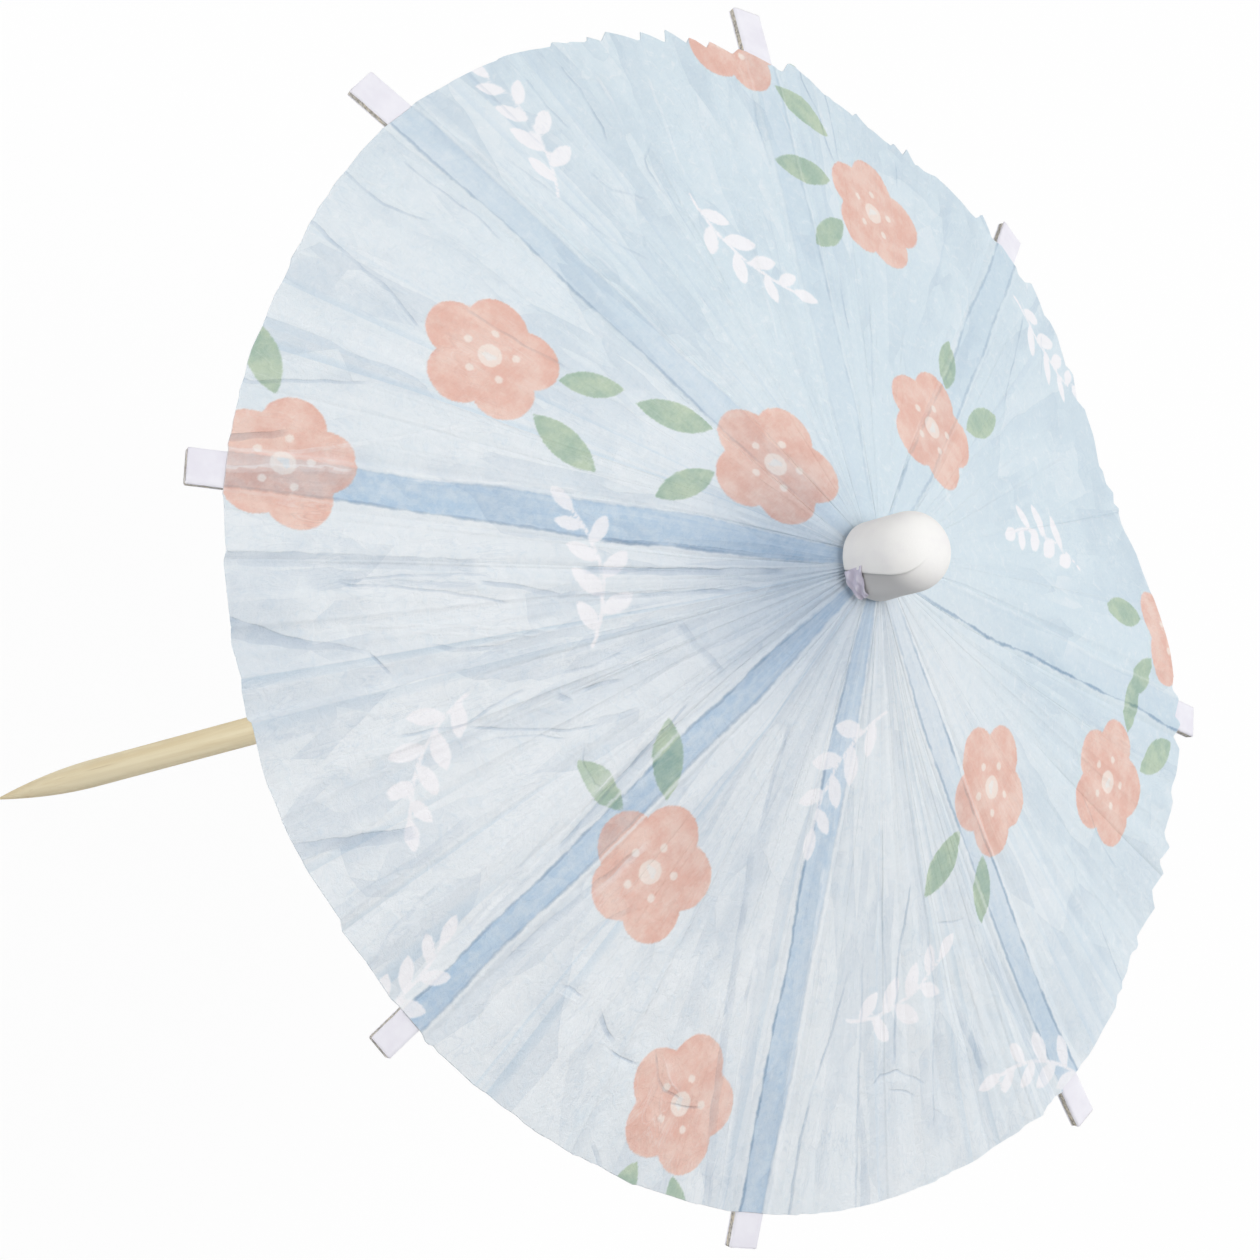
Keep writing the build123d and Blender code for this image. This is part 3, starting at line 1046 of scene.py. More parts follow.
@dataclass(frozen=True)
class Folds:
    """The folds that show on the open canopy, sorted into layers so that no two of a layer come close together."""

    room: float = 1.3
    reach: float = 1.2
    wander: float = 0.05
    wander_pitch: float = 1.8
    spacing: float = 0.4
    line_half: float = 0.28
    line_depth: float = 0.11
    stripe_depth: float = -0.05
    rows: tuple[tuple[float, ...], ...] = (
        (-0.6, 0.16, 0.12, 0.3, 38.0, 5.9, 36.5, 5.9, 34.8, 5.8, 32.3, 4.4),
        (-0.7, 0.25, 0.12, 0.1, 36.9, 10.5, 35.1, 10.6, 33.1, 10.6, 30.8, 10.5, 28.2, 11.0),
        (-0.4, 0.12, 0.12, 0.0, 27.7, 7.7, 24.7, 7.0, 20.6, 5.6),
        (-0.5, 0.12, 0.12, -0.6, 36.1, 2.2, 33.2, 1.9, 30.6, 1.5, 28.4, 1.7),
        (-0.6, 0.19, 0.12, 0.4, 32.2, 20.9, 30.5, 18.8, 27.7, 15.7),
        (-0.8, 0.31, 0.25, 0.0, 30.4, 24.2, 29.5, 22.9, 28.5, 21.5),
        (0.5, 0.16, 0.16, -0.2, 29.8, 24.6, 27.3, 21.9, 24.5, 17.4, 22.2, 13.1),
        (0.5, 0.31, 0.25, 1.0, 29.0, 25.6, 26.6, 22.6, 24.2, 20.2),
        (0.5, 0.19, 0.16, 1.0, 22.0, 18.6, 19.2, 15.2, 14.9, 11.0),
        (0.5, 0.16, 0.12, 0.4, 36.3, -2.4, 33.9, -2.5, 31.6, -2.4, 26.9, -2.4, 20.8, -2.6),
        (-0.35, 0.19, 0.12, 0.5, 37.4, -7.0, 34.3, -6.7, 30.6, -6.4),
        (-0.5, 0.12, 0.12, -0.4, 34.6, -9.9, 32.4, -9.3, 30.2, -9.1),
        (-0.7, 0.12, 0.12, 0.2, 33.7, -13.0, 31.5, -12.5, 29.0, -11.3, 28.2, -10.4),
        (0.8, 0.19, 0.12, -0.3, 31.7, -14.6, 29.9, -13.8, 27.9, -12.5),
        (0.7, 0.38, 0.31, 0.0, 31.6, -7.4, 30.4, -7.5, 29.3, -7.4),
        (0.6, 0.16, 0.12, -0.2, 29.2, -17.9, 27.8, -16.7, 23.3, -13.0),
        (0.6, 0.16, 0.12, -0.1, 25.5, -11.7, 24.0, -10.7, 22.7, -10.1),
        (-0.6, 0.11, 0.11, 0.0, 26.4, -13.6, 25.9, -11.8, 25.3, -11.2, 23.3, -10.5),
        (-0.4, 0.12, 0.12, -0.4, 28.1, -7.4, 26.2, -7.6, 24.1, -9.4),
        (-0.35, 0.12, 0.12, -0.2, 32.3, -3.5, 28.0, -4.0, 24.2, -4.3, 21.7, -5.3),
        (-0.45, 0.12, 0.12, -0.4, 23.9, -24.7, 21.7, -22.0, 19.5, -19.9),
        (0.5, 0.12, 0.12, 0.3, 22.0, -25.6, 18.9, -23.4),
        (-0.7, 0.12, 0.12, -0.1, 21.4, -29.6, 19.4, -28.7, 16.4, -25.9),
        (-0.6, 0.12, 0.09, 0.0, 19.9, -31.4, 17.9, -29.1, 16.1, -26.4),
        (0.5, 0.12, 0.12, 0.0, 20.6, -30.3, 18.1, -27.9),
        (-0.5, 0.09, 0.09, -0.1, 12.7, -33.3, 11.5, -30.7),
        (-0.6, 0.09, 0.09, 0.0, 11.8, -16.8, 9.5, -13.9),
        (-0.35, 0.09, 0.09, 0.0, 9.5, -18.6, 5.8, -11.2),
        (0.6, 0.16, 0.12, 0.0, 17.1, -12.3, 14.5, -9.6, 12.7, -7.9),
        (-0.6, 0.11, 0.11, 0.2, -1.1, -34.3, -2.0, -29.5, -3.0, -25.1),
        (-0.35, 0.09, 0.09, 0.0, -3.2, -35.8, -5.0, -31.9),
        (-0.4, 0.09, 0.09, -0.1, -25.6, -12.7, -30.0, -12.7, -32.4, -13.3),
        (-0.5, 0.09, 0.09, 0.4, -33.5, -9.2, -36.6, -9.0, -39.0, -9.0),
        (-0.5, 0.56, 0.25, 0.1, -34.2, 18.6, -31.4, 17.2, -28.4, 16.1),
        (-0.7, 0.12, 0.12, 0.4, -32.4, 18.4, -28.9, 16.4, -25.2, 14.2, -20.9, 11.8),
        (-0.8, 0.14, 0.12, 0.2, -28.7, 12.6, -25.1, 10.5, -22.9, 9.2, -19.2, 6.1),
        (-0.4, 0.12, 0.12, 0.2, -25.1, 11.4, -22.1, 10.2, -18.0, 8.6),
        (-0.45, 0.11, 0.11, 0.6, -34.3, 11.7, -30.4, 9.6, -27.2, 7.7, -22.8, 6.3),
        (-0.5, 0.44, 0.25, -0.4, -34.3, 6.2, -30.7, 6.3, -27.6, 6.2),
        (-0.45, 0.38, 0.25, 0.7, -37.3, 2.0, -32.2, 2.3, -26.5, 3.0),
        (0.6, 0.44, 0.31, 0.0, -34.3, 4.6, -29.6, 4.7, -25.4, 4.5),
        (-0.8, 0.14, 0.12, 0.0, -30.5, 23.7, -27.4, 21.2, -25.1, 18.8, -23.3, 16.2, -20.7, 13.1),
        (0.5, 0.25, 0.19, -1.0, -29.1, 24.8, -24.4, 21.0, -18.1, 15.4, -13.4, 11.7),
        (0.45, 0.25, 0.19, -0.6, -29.9, 22.0, -25.3, 18.0, -21.6, 14.9),
        (-0.6, 0.11, 0.09, 0.0, -28.4, 15.1, -28.3, 13.8, -29.0, 12.4, -31.3, 10.9),
        (-0.5, 0.09, 0.09, -0.2, -29.4, 13.8, -30.7, 12.4, -31.6, 11.8),
        (-0.5, 0.09, 0.09, 0.4, -22.8, 5.8, -23.7, 4.4, -24.5, 3.1),
        (-0.5, 0.44, 0.31, 0.2, -25.8, 28.8, -21.8, 26.1, -14.6, 20.3, -9.4, 15.9),
        (0.6, 0.31, 0.25, 0.9, -26.4, 27.7, -21.3, 23.8, -14.9, 18.5),
        (-0.4, 0.19, 0.19, 0.5, -17.4, 21.1, -15.3, 18.9, -14.2, 17.4),
        (-0.45, 0.31, 0.25, -0.6, -4.5, 32.4, -4.3, 28.0, -4.4, 21.9),
        (0.5, 0.25, 0.25, 0.0, -5.4, 35.6, -5.0, 30.0, -4.6, 23.6, -4.4, 21.1),
        (-0.3, 0.25, 0.25, 0.2, -6.8, 29.3, -6.5, 26.4, -7.2, 23.7),
        (-0.7, 0.12, 0.12, 0.5, -7.6, 30.5, -8.6, 29.9, -9.7, 29.5),
        (0.6, 0.09, 0.09, 0.2, -7.7, 30.9, -9.7, 30.0),
        (-0.8, 0.25, 0.19, 0.1, -10.7, 29.3, -12.0, 29.5, -13.2, 29.5),
        (-0.8, 0.11, 0.11, -0.7, -13.0, 30.0, -14.1, 29.6, -15.4, 28.7),
        (-0.7, 0.11, 0.11, 0.3, -15.3, 27.4, -16.8, 28.0, -17.9, 28.2, -19.4, 27.2),
        (0.6, 0.09, 0.09, 0.4, -15.9, 27.1, -17.9, 27.6, -19.0, 27.2),
        (-0.7, 0.09, 0.09, -0.1, -18.7, 28.4, -19.6, 27.5, -20.7, 26.3),
        (-0.6, 0.31, 0.19, -0.1, -19.0, 34.0, -17.7, 33.8, -17.1, 33.8),
        (-0.45, 0.56, 0.5, 0.4, 23.9, 28.2, 19.7, 23.6, 15.4, 18.9),
        (-0.5, 0.11, 0.11, -0.2, 20.3, 26.2, 18.0, 22.9, 14.7, 18.8),
        (-0.6, 0.11, 0.11, -0.3, 20.3, 26.3, 17.5, 23.4, 15.3, 21.4, 12.6, 19.1),
        (-0.3, 0.19, 0.31, -0.2, 19.2, 24.9, 16.5, 21.9, 14.4, 19.8),
        (-0.7, 0.19, 0.19, 0.2, 14.9, 19.8, 12.9, 18.0, 11.0, 16.5, 10.4, 15.4),
        (-0.8, 0.31, 0.25, -0.2, 11.5, 14.6, 9.0, 11.8, 7.0, 9.4, 3.1, 4.7),
        (-0.7, 0.22, 0.19, -0.2, 10.1, 15.3, 7.9, 12.8, 5.7, 9.8, 3.4, 6.8),
        (-0.7, 0.19, 0.19, -0.1, 12.0, 12.3, 8.6, 8.8, 5.0, 5.4, 1.5, 1.9),
        (0.7, 0.12, 0.12, -0.2, 17.7, 27.3, 14.6, 23.6, 9.4, 17.9),
        (0.5, 0.09, 0.09, 0.1, 15.4, 25.2, 12.2, 21.7, 9.9, 19.0),
        (-0.5, 0.19, 0.19, -0.1, 13.8, 24.6, 12.3, 23.2, 10.8, 21.0),
        (-0.65, 1.0, 0.12, 0.0, 22.1, 32.5, 19.1, 30.4, 15.9, 27.5),
        (-0.8, 0.12, 0.12, 0.7, 16.0, 27.5, 14.8, 27.4, 13.6, 27.2),
        (0.4, 0.38, 0.31, -0.4, 17.6, 33.0, 16.8, 30.0, 15.2, 27.6),
        (-0.7, 0.12, 0.12, -0.4, 10.7, 29.4, 9.7, 27.6, 8.6, 25.8, 8.5, 24.0, 8.0, 21.7),
        (-0.7, 0.11, 0.11, 0.0, 8.5, 25.9, 6.3, 23.5, 4.3, 21.2, 3.2, 19.3),
        (-0.5, 0.09, 0.09, -0.2, 7.1, 25.2, 5.2, 22.8, 3.9, 21.5),
        (-0.5, 0.12, 0.12, -0.7, 7.4, 19.5, 6.5, 17.9, 5.9, 15.6),
        (-0.7, 0.19, 0.12, 0.4, 5.8, 19.4, 5.3, 18.1, 4.6, 16.7),
        (-0.6, 0.31, 0.25, -0.4, 6.6, 20.6, 5.5, 20.1),
        (-0.5, 0.31, 0.25, 0.5, 3.8, 20.1, 3.0, 18.3, 2.5, 17.1),
        (-0.6, 0.09, 0.09, -0.2, 3.4, 21.1, 2.1, 21.8, 0.8, 22.1, 0.1, 21.8),
        (-0.6, 0.56, 0.5, 0.2, 9.2, 38.0, 7.5, 35.3, 5.3, 31.8),
        (-0.25, 0.56, 0.44, -0.4, 4.6, 37.5, 4.0, 32.8, 4.0, 29.1),
        (0.5, 0.31, 0.25, -0.1, 12.3, 33.7, 10.6, 30.6, 9.0, 27.4),
        (-0.8, 0.12, 0.12, 0.7, -1.0, 26.3, -0.5, 23.1, 0.3, 18.7, 0.9, 14.4),
        (0.5, 0.22, 0.19, 0.8, -1.4, 32.9, -0.8, 27.2, 0.2, 21.9, 0.9, 17.5),
        (-0.3, 0.16, 0.16, 0.0, 1.0, 38.6, 1.8, 37.0, 2.3, 31.8),
        (-0.25, 0.19, 0.19, 0.5, -1.6, 35.4, -0.6, 30.1, 0.4, 24.9),
        (-0.35, 0.5, 0.38, -0.9, 5.5, 12.2, 3.2, 12.3, 0.7, 11.9),
        (-0.6, 0.19, 0.19, 1.0, -9.1, 15.3, -7.0, 13.1, -4.3, 9.8),
    )

    @property
    def seen(self) -> list[Fold]:
        """The folds of the table, whose rows give painted tone, both half widths, painted tone step and the path's
        coordinates.
        """
        return [Fold(*row[:3], tuple(zip(row[4::2], row[5::2])), row[3]) for row in self.rows]

    def gap(self, own: Array, other: Fold) -> float:
        """Least distance from a fold's points to the side of another fold."""
        apart = own[:, None] - other.points(self.spacing)[None]
        return np.hypot(*apart.transpose(2, 0, 1)).min() - other.half

    def layers(self) -> list[list[Fold]]:
        """Sort the folds into layers: each goes to the first layer where it keeps clear of all others.

        Returns:
            The layers.
        """
        layers: list[list[Fold]] = []
        for fold in self.seen:
            own = fold.points(self.spacing)
            for layer in layers:
                if min(self.gap(own, other) for other in layer) > fold.half + self.room:
                    layer.append(fold)
                    break
            else:
                layers.append([fold])
        return layers

    def fields(self, x: Array, y: Array) -> tuple[list[Array], Array, Array]:
        """Lay out every layer on the vertices of a sheet.

        Args:
            x: Flat place of each vertex.
            y: The other coordinate.

        Returns:
            For each layer the signed distance, painted tone and half width of its nearest fold, the relief of all folds
            (a dark line is a valley, a light one a ridge, and a broad dark stripe, where the sheet is double, lies a
            little high), and the painted shade and light of the facets beside them, which steps at each fold and fades
            away from it.
        """
        none = np.zeros(x.shape)
        fields, relief, facets = [], none.copy(), none.copy()
        moved = self.wander * ripple(x, y, self.wander_pitch, 71), self.wander * ripple(y, x, self.wander_pitch, 72)
        x, y = x + moved[0], y + moved[1]
        for layer in self.layers():
            best, kept = np.full(x.shape, FAR), np.stack([none + CLAMP, none, none], axis=-1)
            for fold in layer:
                signed, half, ends = fold.measure(x, y)
                beyond = np.abs(signed) - half
                tone = fold.tone * ends * (1.0 - smoothstep(0.15, 0.6, beyond))
                own = np.stack([np.clip(signed, -CLAMP, CLAMP), tone, half], axis=-1)
                closer = beyond < best
                best, kept = np.where(closer, beyond, best), np.where(closer[..., None], own, kept)
                depth = self.line_depth if fold.half < self.line_half or fold.tone > 0 else self.stripe_depth
                relief += depth * fold.tone * ends * (1.0 - smoothstep(0.0, 0.5, beyond))
                facets += 0.5 * fold.step * ends * np.sign(signed) * np.exp(-np.maximum(beyond, 0.0) / self.reach)
            fields.append(kept)
        return fields, relief, np.clip(facets, -1.0, 1.0)


@dataclass
class Sheet:
    """Vertices of one share of the canopy, in rows from the eye to the rim and columns across.

    They are given by azimuth from the rib, azimuth, distance from the axis, place from eye to rim, 1 where the card
    holds the sheet, and how far the sheet lies double.
    """

    turn: Array
    azimuth: Array
    spread: Array
    share: Array
    held: Array
    doubled: Array

    @property
    def x(self) -> Array:
        """Flat place of each vertex, in millimetres."""
        return self.spread * np.cos(self.azimuth)

    @property
    def y(self) -> Array:
        """The other flat coordinate."""
        return self.spread * np.sin(self.azimuth)


@dataclass
class Canopy:
    """Pleated tissue: eight shares of one round sheet, each glued along its rib and met at valley folds."""

    layout: Layout
    thickness: float = 0.08
    glue: float = 0.02
    rows: int = 210
    band_columns: int = 12
    parts: tuple[float, ...] = (0.0, 0.1, 0.5, 0.9)
    twice: tuple[float, ...] = (0.0, 1.0, 0.75, 0.3)
    pleats: int = 4
    pleat_height: float = 0.3
    groove: float = 0.2
    nick: float = 0.04
    seed: int = 41
    keep: float = 0.31
    # Painted shade of the band over each rib's card, and its share near the eye.
    card_tone: tuple[float, ...] = (0.34, 0.92, 0.95, 0.74, 0.58, 0.25, 0.26, 0.22)
    card_near: tuple[float, ...] = (0.9, 0.8, 0.75, 0.85, 0.25, 0.0, 0.2, 0.4)
    contact: tuple[tuple[float, float], ...] = (
        (0.9, 0.95), (1.0, 0.95), (0.72, 0.74), (0.9, 0.84), (0.8, 0.8), (0.9, 0.9), (0.92, 0.92), (0.9, 0.9),
    )
    # Wrinkle strength between each two ribs, for relief and for painted groove shade and crest highlight.
    wear: tuple[float, ...] = (0.55, 0.8, 0.85, 1.0, 0.7, 0.6, 0.6, 0.7)
    panel_relief: tuple[float, ...] = (0.28, 0.8, 0.45, 0.7, 0.4, 0.4, 0.35, 0.35)
    panel_lift: tuple[float, ...] = (0.98, -0.41, 0.35, -0.66, -0.78, -2.34, -0.96, -0.29)
    # Painted shadow on each border of the band per rib, and below it the painted highlight beside it.
    edge_shade: tuple[tuple[float, float], ...] = (
        (0.15, 0.6), (0.2, 0.7), (0.75, 0.5), (0.9, 0.3), (0.7, 0.8), (0.9, 0.06), (0.45, 0.5), (0.3, 0.1),
    )
    edge_light: tuple[float, ...] = (0.12, 0.15, 0.45, 0.3, 0.25, 0.15, 0.12, 0.12)
    shades: tuple[Spot, ...] = (
        (62.0, 7.0, 6.5, 0.38), (84.0, 9.0, 5.0, 0.2), (105.0, 5.0, 4.0, 0.25), (35.0, 6.0, 5.0, 0.22),
        (10.0, 5.0, 4.0, 0.2), (114.0, 19.0, 5.0, 0.16),
    )
    crumples: tuple[Spot, ...] = (
        (118.0, 30.0, 5.5, 1.0), (166.0, 31.0, 4.5, 0.8), (57.0, 33.0, 4.5, 0.9), (76.0, 18.0, 6.0, 0.7),
        (330.0, 30.0, 6.0, 0.5),
    )
    crumple_base: float = 0.16
    crumple_waves: int = 9
    crumple_height: float = 0.035
    teeth: float = 1.05
    tooth_widths: tuple[float, ...] = (1.8, 3.0, 4.4, 6.5)
    tooth_most: int = 130
    tooth_last: float = 356.0
    tooth_peak: float = 0.82
    tooth_mean: float = 0.35
    toothed_from: tuple[float, float] = (165.0, 195.0)
    toothed_to: tuple[float, float] = (325.0, 345.0)
    toothed_least: float = 0.12
    rim_wave: float = 0.045
    rim_power: int = 8
    snag_at: float = 110.3
    snag_half: float = 0.45
    snag_height: float = 0.75
    groove_at: float = 0.035
    groove_end: float = 0.08
    groove_back: float = 0.12
    knots: int = 5
    crease_jitter: float = 0.38
    crease_wander: float = 0.07
    crease_drift: float = 0.25
    between_drift: float = 0.2
    ridge_level: tuple[float, float] = (0.25, 1.35)
    valley_level: tuple[float, float] = (-0.25, 0.25)
    seam_level: tuple[float, float] = (-0.12, 0.12)
    lap_odds: float = 0.28
    lap_tone: tuple[float, float] = (0.2, 0.75)
    hang_power: float = 1.6
    band_margin: float = 0.06
    contact_wave: float = 0.09
    glue_hold: float = 0.85
    lowest: float = -0.9
    pull_way: float = math.radians(65.0)
    pull_least: float = 0.2
    gathers: int = 72
    gather_reach: float = 8.0
    gather_height: float = 0.26
    # Painted shade near the eye, laid with the double layers of the gathers.
    gather_shade: float = 0.25
    gather_shade_reach: float = 5.0
    crisp_way: float = math.radians(75.0)
    crisp_far: tuple[float, float] = (10.0, 24.0)
    wear_and_shade_far: tuple[float, float] = (6.0, 17.0)
    # Painted light: the dye is paler round this azimuth, where the lamps light the sheet less.
    paler_at: float = 182.0
    paler_width: float = 34.0
    dye_and_light_way: float = math.radians(98.0)
    polar_scale: tuple[float, float] = (20.0, 0.38)
    pattern: Print = field(default_factory=Print)
    folds: Folds = field(default_factory=Folds)

    def seam(self, number: int, side: int) -> int:
        """Number of the valley fold on one side of a rib."""
        return (number if side > 0 else number - 1) % RIBS

    def seam_nodes(self, seam: int) -> Array:
        """Height of the valley fold between two ribs at places from eye to rim, as a share of a pleat."""
        return np.random.default_rng(self.seed * 100 + seam).uniform(*self.seam_level, self.knots)

    def side_nodes(self, number: int, side: int, share: Array) -> tuple[Array, Array, Array]:
        """Creases of one half of a share of the sheet, from the rib's edge to the valley fold.

        Beside the rib the sheet dips into a groove. Then ridges and valleys alternate at uneven steps, with one
        smaller crease between each two. Places and heights wander a little from eye to rim.

        Args:
            number: Rib, from 0.
            side: -1 or 1 for the side towards the last or the next rib.
            share: Place of each row from 0 at the eye to 1 at the rim.

        Returns:
            Place of each crease from 0 to 1 across the half, its height in millimetres, and how far the sheet lies
            double in the strip before it, each creases by rows.
        """
        draw = np.random.default_rng(self.seed + 10 * number + (side + 1))
        seam, count, knots = self.seam(number, side), 2 * self.pleats, np.linspace(0.0, 1.0, self.knots)
        flat, grow = np.zeros(share.shape), 0.08 + 0.92 * share
        deep = self.panel_relief[seam] * self.pleat_height * grow
        bottom = -self.groove * (0.35 + 0.65 * share) * draw.uniform(0.5, 1.1)
        places = [flat, flat + self.groove_at, flat + self.groove_end]
        heights = [flat, bottom, -self.groove_back * self.groove * grow]
        doubled = [flat, flat, flat]
        for step in range(1, count + 1):
            last = step == count
            jitter = 0.0 if last else draw.uniform(-self.crease_jitter, self.crease_jitter) / count
            wander = np.zeros(self.knots) if last else draw.normal(0.0, self.crease_wander, self.knots) / count
            level = draw.uniform(*(self.ridge_level if step % 2 == 1 else self.valley_level))
            drift = draw.normal(0.0, self.crease_drift, self.knots)
            if last:
                level, drift = 0.0, self.seam_nodes(seam)
            middle = self.groove_end + (1.0 - self.groove_end) * step / count
            place = middle + jitter + np.interp(share, knots, wander)
            height = deep * np.interp(share, knots, level + drift)
            between = draw.uniform(0.3, 0.7)
            rise = deep * np.interp(share, knots, draw.normal(0.0, self.between_drift, self.knots))
            twice = draw.uniform(*self.lap_tone) if draw.random() < self.lap_odds else 0.0
            start = draw.uniform(-0.3, 0.7)
            places += [places[-1] + between * (place - places[-1]), place]
            heights += [heights[-1] + between * (height - heights[-1]) + rise, height]
            doubled += [twice * smoothstep(start, start + 0.15, share), flat]
        return np.array(places), np.array(heights), np.array(doubled)

    def hairlines(self, number: int, side: int, count: int, share: Array) -> Array:
        """Sharp lines pressed into the creases: one narrow rise or dip per crease, over part of its length.

        Args:
            number: Rib, from 0.
            side: Side of the rib, -1 or 1.
            count: Number of creases.
            share: Place of each row from eye to rim.

        Returns:
            Height in millimetres, creases by rows. The rib's edge and the valley fold have none.
        """
        draw = np.random.default_rng(self.seed + 500 + 10 * number + side)
        start, end = draw.uniform(-0.4, 0.6, (count, 1)), draw.uniform(0.6, 1.6, (count, 1))
        lines = draw.normal(0.0, self.nick, (count, 1)) * self.panel_relief[self.seam(number, side)]
        lines = lines * smoothstep(0, 0.12, share - start) * smoothstep(0, 0.12, end - share)
        lines[[0, -1]] = 0.0
        return lines

    def across(self, nodes: Array) -> Array:
        """Fill each strip between two creases with columns, close to both creases and half way.

        Args:
            nodes: Creases by rows.

        Returns:
            Columns by rows, the creases among them.
        """
        low = np.repeat(np.arange(len(nodes) - 1), len(self.parts))
        part = np.tile(self.parts, len(nodes) - 1)[:, None]
        return np.concatenate([nodes[low] * (1 - part) + nodes[low + 1] * part, nodes[-1:]])

    def lapped(self, doubled: Array) -> Array:
        """Spread each strip's doubling over its columns: sharp at its first crease and fading towards the next."""
        low = np.repeat(np.arange(len(doubled) - 1), len(self.parts))
        return np.concatenate([doubled[low + 1] * np.tile(self.twice, len(doubled) - 1)[:, None], 0.0 * doubled[-1:]])

    def ragged(self, azimuth: Array) -> Array:
        """Uneven rim, in millimetres: small waves all round, saw teeth of pleat ends on one half, and one snag.

        Args:
            azimuth: Azimuth of each vertex in radians.

        Returns:
            What is added to the radius.
        """
        draw = np.random.default_rng(self.seed + 11)
        knots = np.cumsum(draw.choice(self.tooth_widths, self.tooth_most) * draw.uniform(0.8, 1.2, self.tooth_most))
        knots = knots[knots < self.tooth_last]
        height = draw.uniform(0.05, 1.0, len(knots)) ** 1.5
        degrees = np.degrees(azimuth) % 360.0
        place = np.clip(np.searchsorted(knots, degrees) - 1, 0, len(knots) - 2)
        part = np.clip((degrees - knots[place]) / (knots[place + 1] - knots[place]), 0.0, 1.0)
        fall = (1.0 - part) / (1.0 - self.tooth_peak)
        saw = height[place] * np.where(part < self.tooth_peak, part / self.tooth_peak, fall)
        where = smoothstep(*self.toothed_from, degrees) * (1.0 - smoothstep(*self.toothed_to, degrees))
        waves = self.rim_wave * ripple(38.0 * np.cos(azimuth), 38.0 * np.sin(azimuth), 5.0, self.seed + 3)
        snag = self.snag_height * np.clip(1.0 - np.abs(degrees - self.snag_at) / self.snag_half, 0.0, 1.0)
        toothed = self.toothed_least + (1.0 - self.toothed_least) * where
        return waves * (1.0 - 0.5 * where) + self.teeth * toothed * (saw - self.tooth_mean) + snag

    def crumple(self, x: Array, y: Array) -> Array:
        """Relief of crushed spots: triangle waves in several directions, gathered round a few places.

        Args:
            x: Flat place of each vertex.
            y: The other coordinate.

        Returns:
            Height in millimetres.
        """
        draw, count = np.random.default_rng(self.seed + 7), self.crumple_waves
        waves = np.zeros(x.shape)
        angles, pitches = draw.uniform(0, math.pi, count), draw.uniform(2.2, 7.5, count)
        for angle, pitch, phase in zip(angles, pitches, draw.uniform(0, 1, count)):
            along = x * math.cos(angle) + y * math.sin(angle)
            beside = -x * math.sin(angle) + y * math.cos(angle)
            waves += pitch * zigzag(along / pitch + phase + 0.35 * np.sin(beside / (1.3 * pitch) + 9 * phase))
        return (waves - waves.mean()) * self.crumple_height * blots(x, y, self.crumples, self.crumple_base)

    def pull(self, azimuth: Array) -> Array:
        """How strongly the sheet is gathered round the eye: most on one side."""
        return self.pull_least + np.clip(np.cos(azimuth - self.pull_way), 0.0, 1.0)

    def gather(self, sheet: Sheet) -> Array:
        """Height of the fine pleats round the eye, which fade outwards.

        Args:
            sheet: Vertices of the share.

        Returns:
            Height in millimetres.
        """
        fade = np.exp(-(sheet.spread - self.layout.paper_eye) / self.gather_reach)
        pleats = zigzag(sheet.azimuth * self.gathers / math.tau + 0.3 * np.sin(sheet.azimuth * 11))
        return self.pull(sheet.azimuth) * fade * pleats * self.gather_height

    def band(self, number: int, sheet: Sheet) -> dict[str, Array]:
        """Where the sheet touches the card of its rib: a band of painted shade.

        Args:
            number: Rib, from 0.
            sheet: Vertices of the share.

        Returns:
            The distance inside each border of the touching band with its painted shade, and the tones of its painted
            border shadow lines and highlight.
        """
        lay, spread = self.layout, sheet.spread
        across = spread * np.sin(sheet.turn)
        half = lay.half_width((spread - lay.crease_radius) / lay.lean)
        none = 0.0 * spread
        low, high = (
            half * (edge + self.contact_wave * ripple(spread, none + 9.0 * number, 7.0, self.seed + 60 + side))
            for side, edge in enumerate(self.contact[number])
        )
        near = self.card_near[number]
        tone = self.card_tone[number] * (near + (1.0 - near) * sheet.share) + none
        inside = [np.clip(gap, -CLAMP, CLAMP) for gap in (across + low, high - across)]
        lines = [value + none for value in (*self.edge_shade[number], self.edge_light[number])]
        return {
            "strip": np.stack([*inside, tone], axis=-1),
            "painted_band_edges": np.stack(lines, axis=-1) * smoothstep(0.0, 0.25, sheet.share)[..., None] ** 0.5,
        }

    def tones(self, number: int, sheet: Sheet) -> dict[str, Array]:
        """What the tissue's material reads besides print and folds: wrinkle wear with painted shade, painted shade
        spots, crispness, doubling with painted shade near the eye, and dye with painted light.

        Args:
            number: Rib, from 0.
            sheet: Vertices of the share.

        Returns:
            One field per attribute.
        """
        azimuth, spread = sheet.azimuth, sheet.spread
        near = np.clip(0.5 + 0.9 * np.cos(azimuth - self.crisp_way), 0.0, 1.0)
        out = smoothstep(*self.crisp_far, spread)
        crisp = (1.0 - out) * (0.22 + 0.78 * near) + out * (0.7 + 0.3 * near)
        paler = np.exp(-(((np.degrees(azimuth) % 360.0 - self.paler_at) / self.paler_width) ** 2))
        eye_fade = np.exp(-(spread - self.layout.paper_eye) / self.gather_shade_reach)
        gathered = self.gather_shade * self.pull(azimuth) * eye_fade
        wear = np.array(self.wear)[np.where(sheet.turn > 0, number, number - 1) % RIBS]
        return {
            # Wrinkle wear: relief, with painted shade in grooves and painted highlight on crests.
            "wear_and_shade": wear * (1.0 - 0.6 * sheet.held) * smoothstep(*self.wear_and_shade_far, spread) * crisp,
            "shade": np.clip(blots(sheet.x, sheet.y, self.shades), 0.0, 1.0),
            "crisp": crisp,
            # doubled: double strips, and near the eye double layers of the gathers with painted shade.
            "doubled": np.clip(sheet.doubled * crisp + gathered, 0.0, 1.0),
            # dye: part dye, part painted light that makes the sheet paler where the lamps light it less.
            "dye": 0.45 - 0.4 * np.cos(azimuth - self.dye_and_light_way) - 0.22 * paler + 0.25 * out * (1.0 - near),
        }

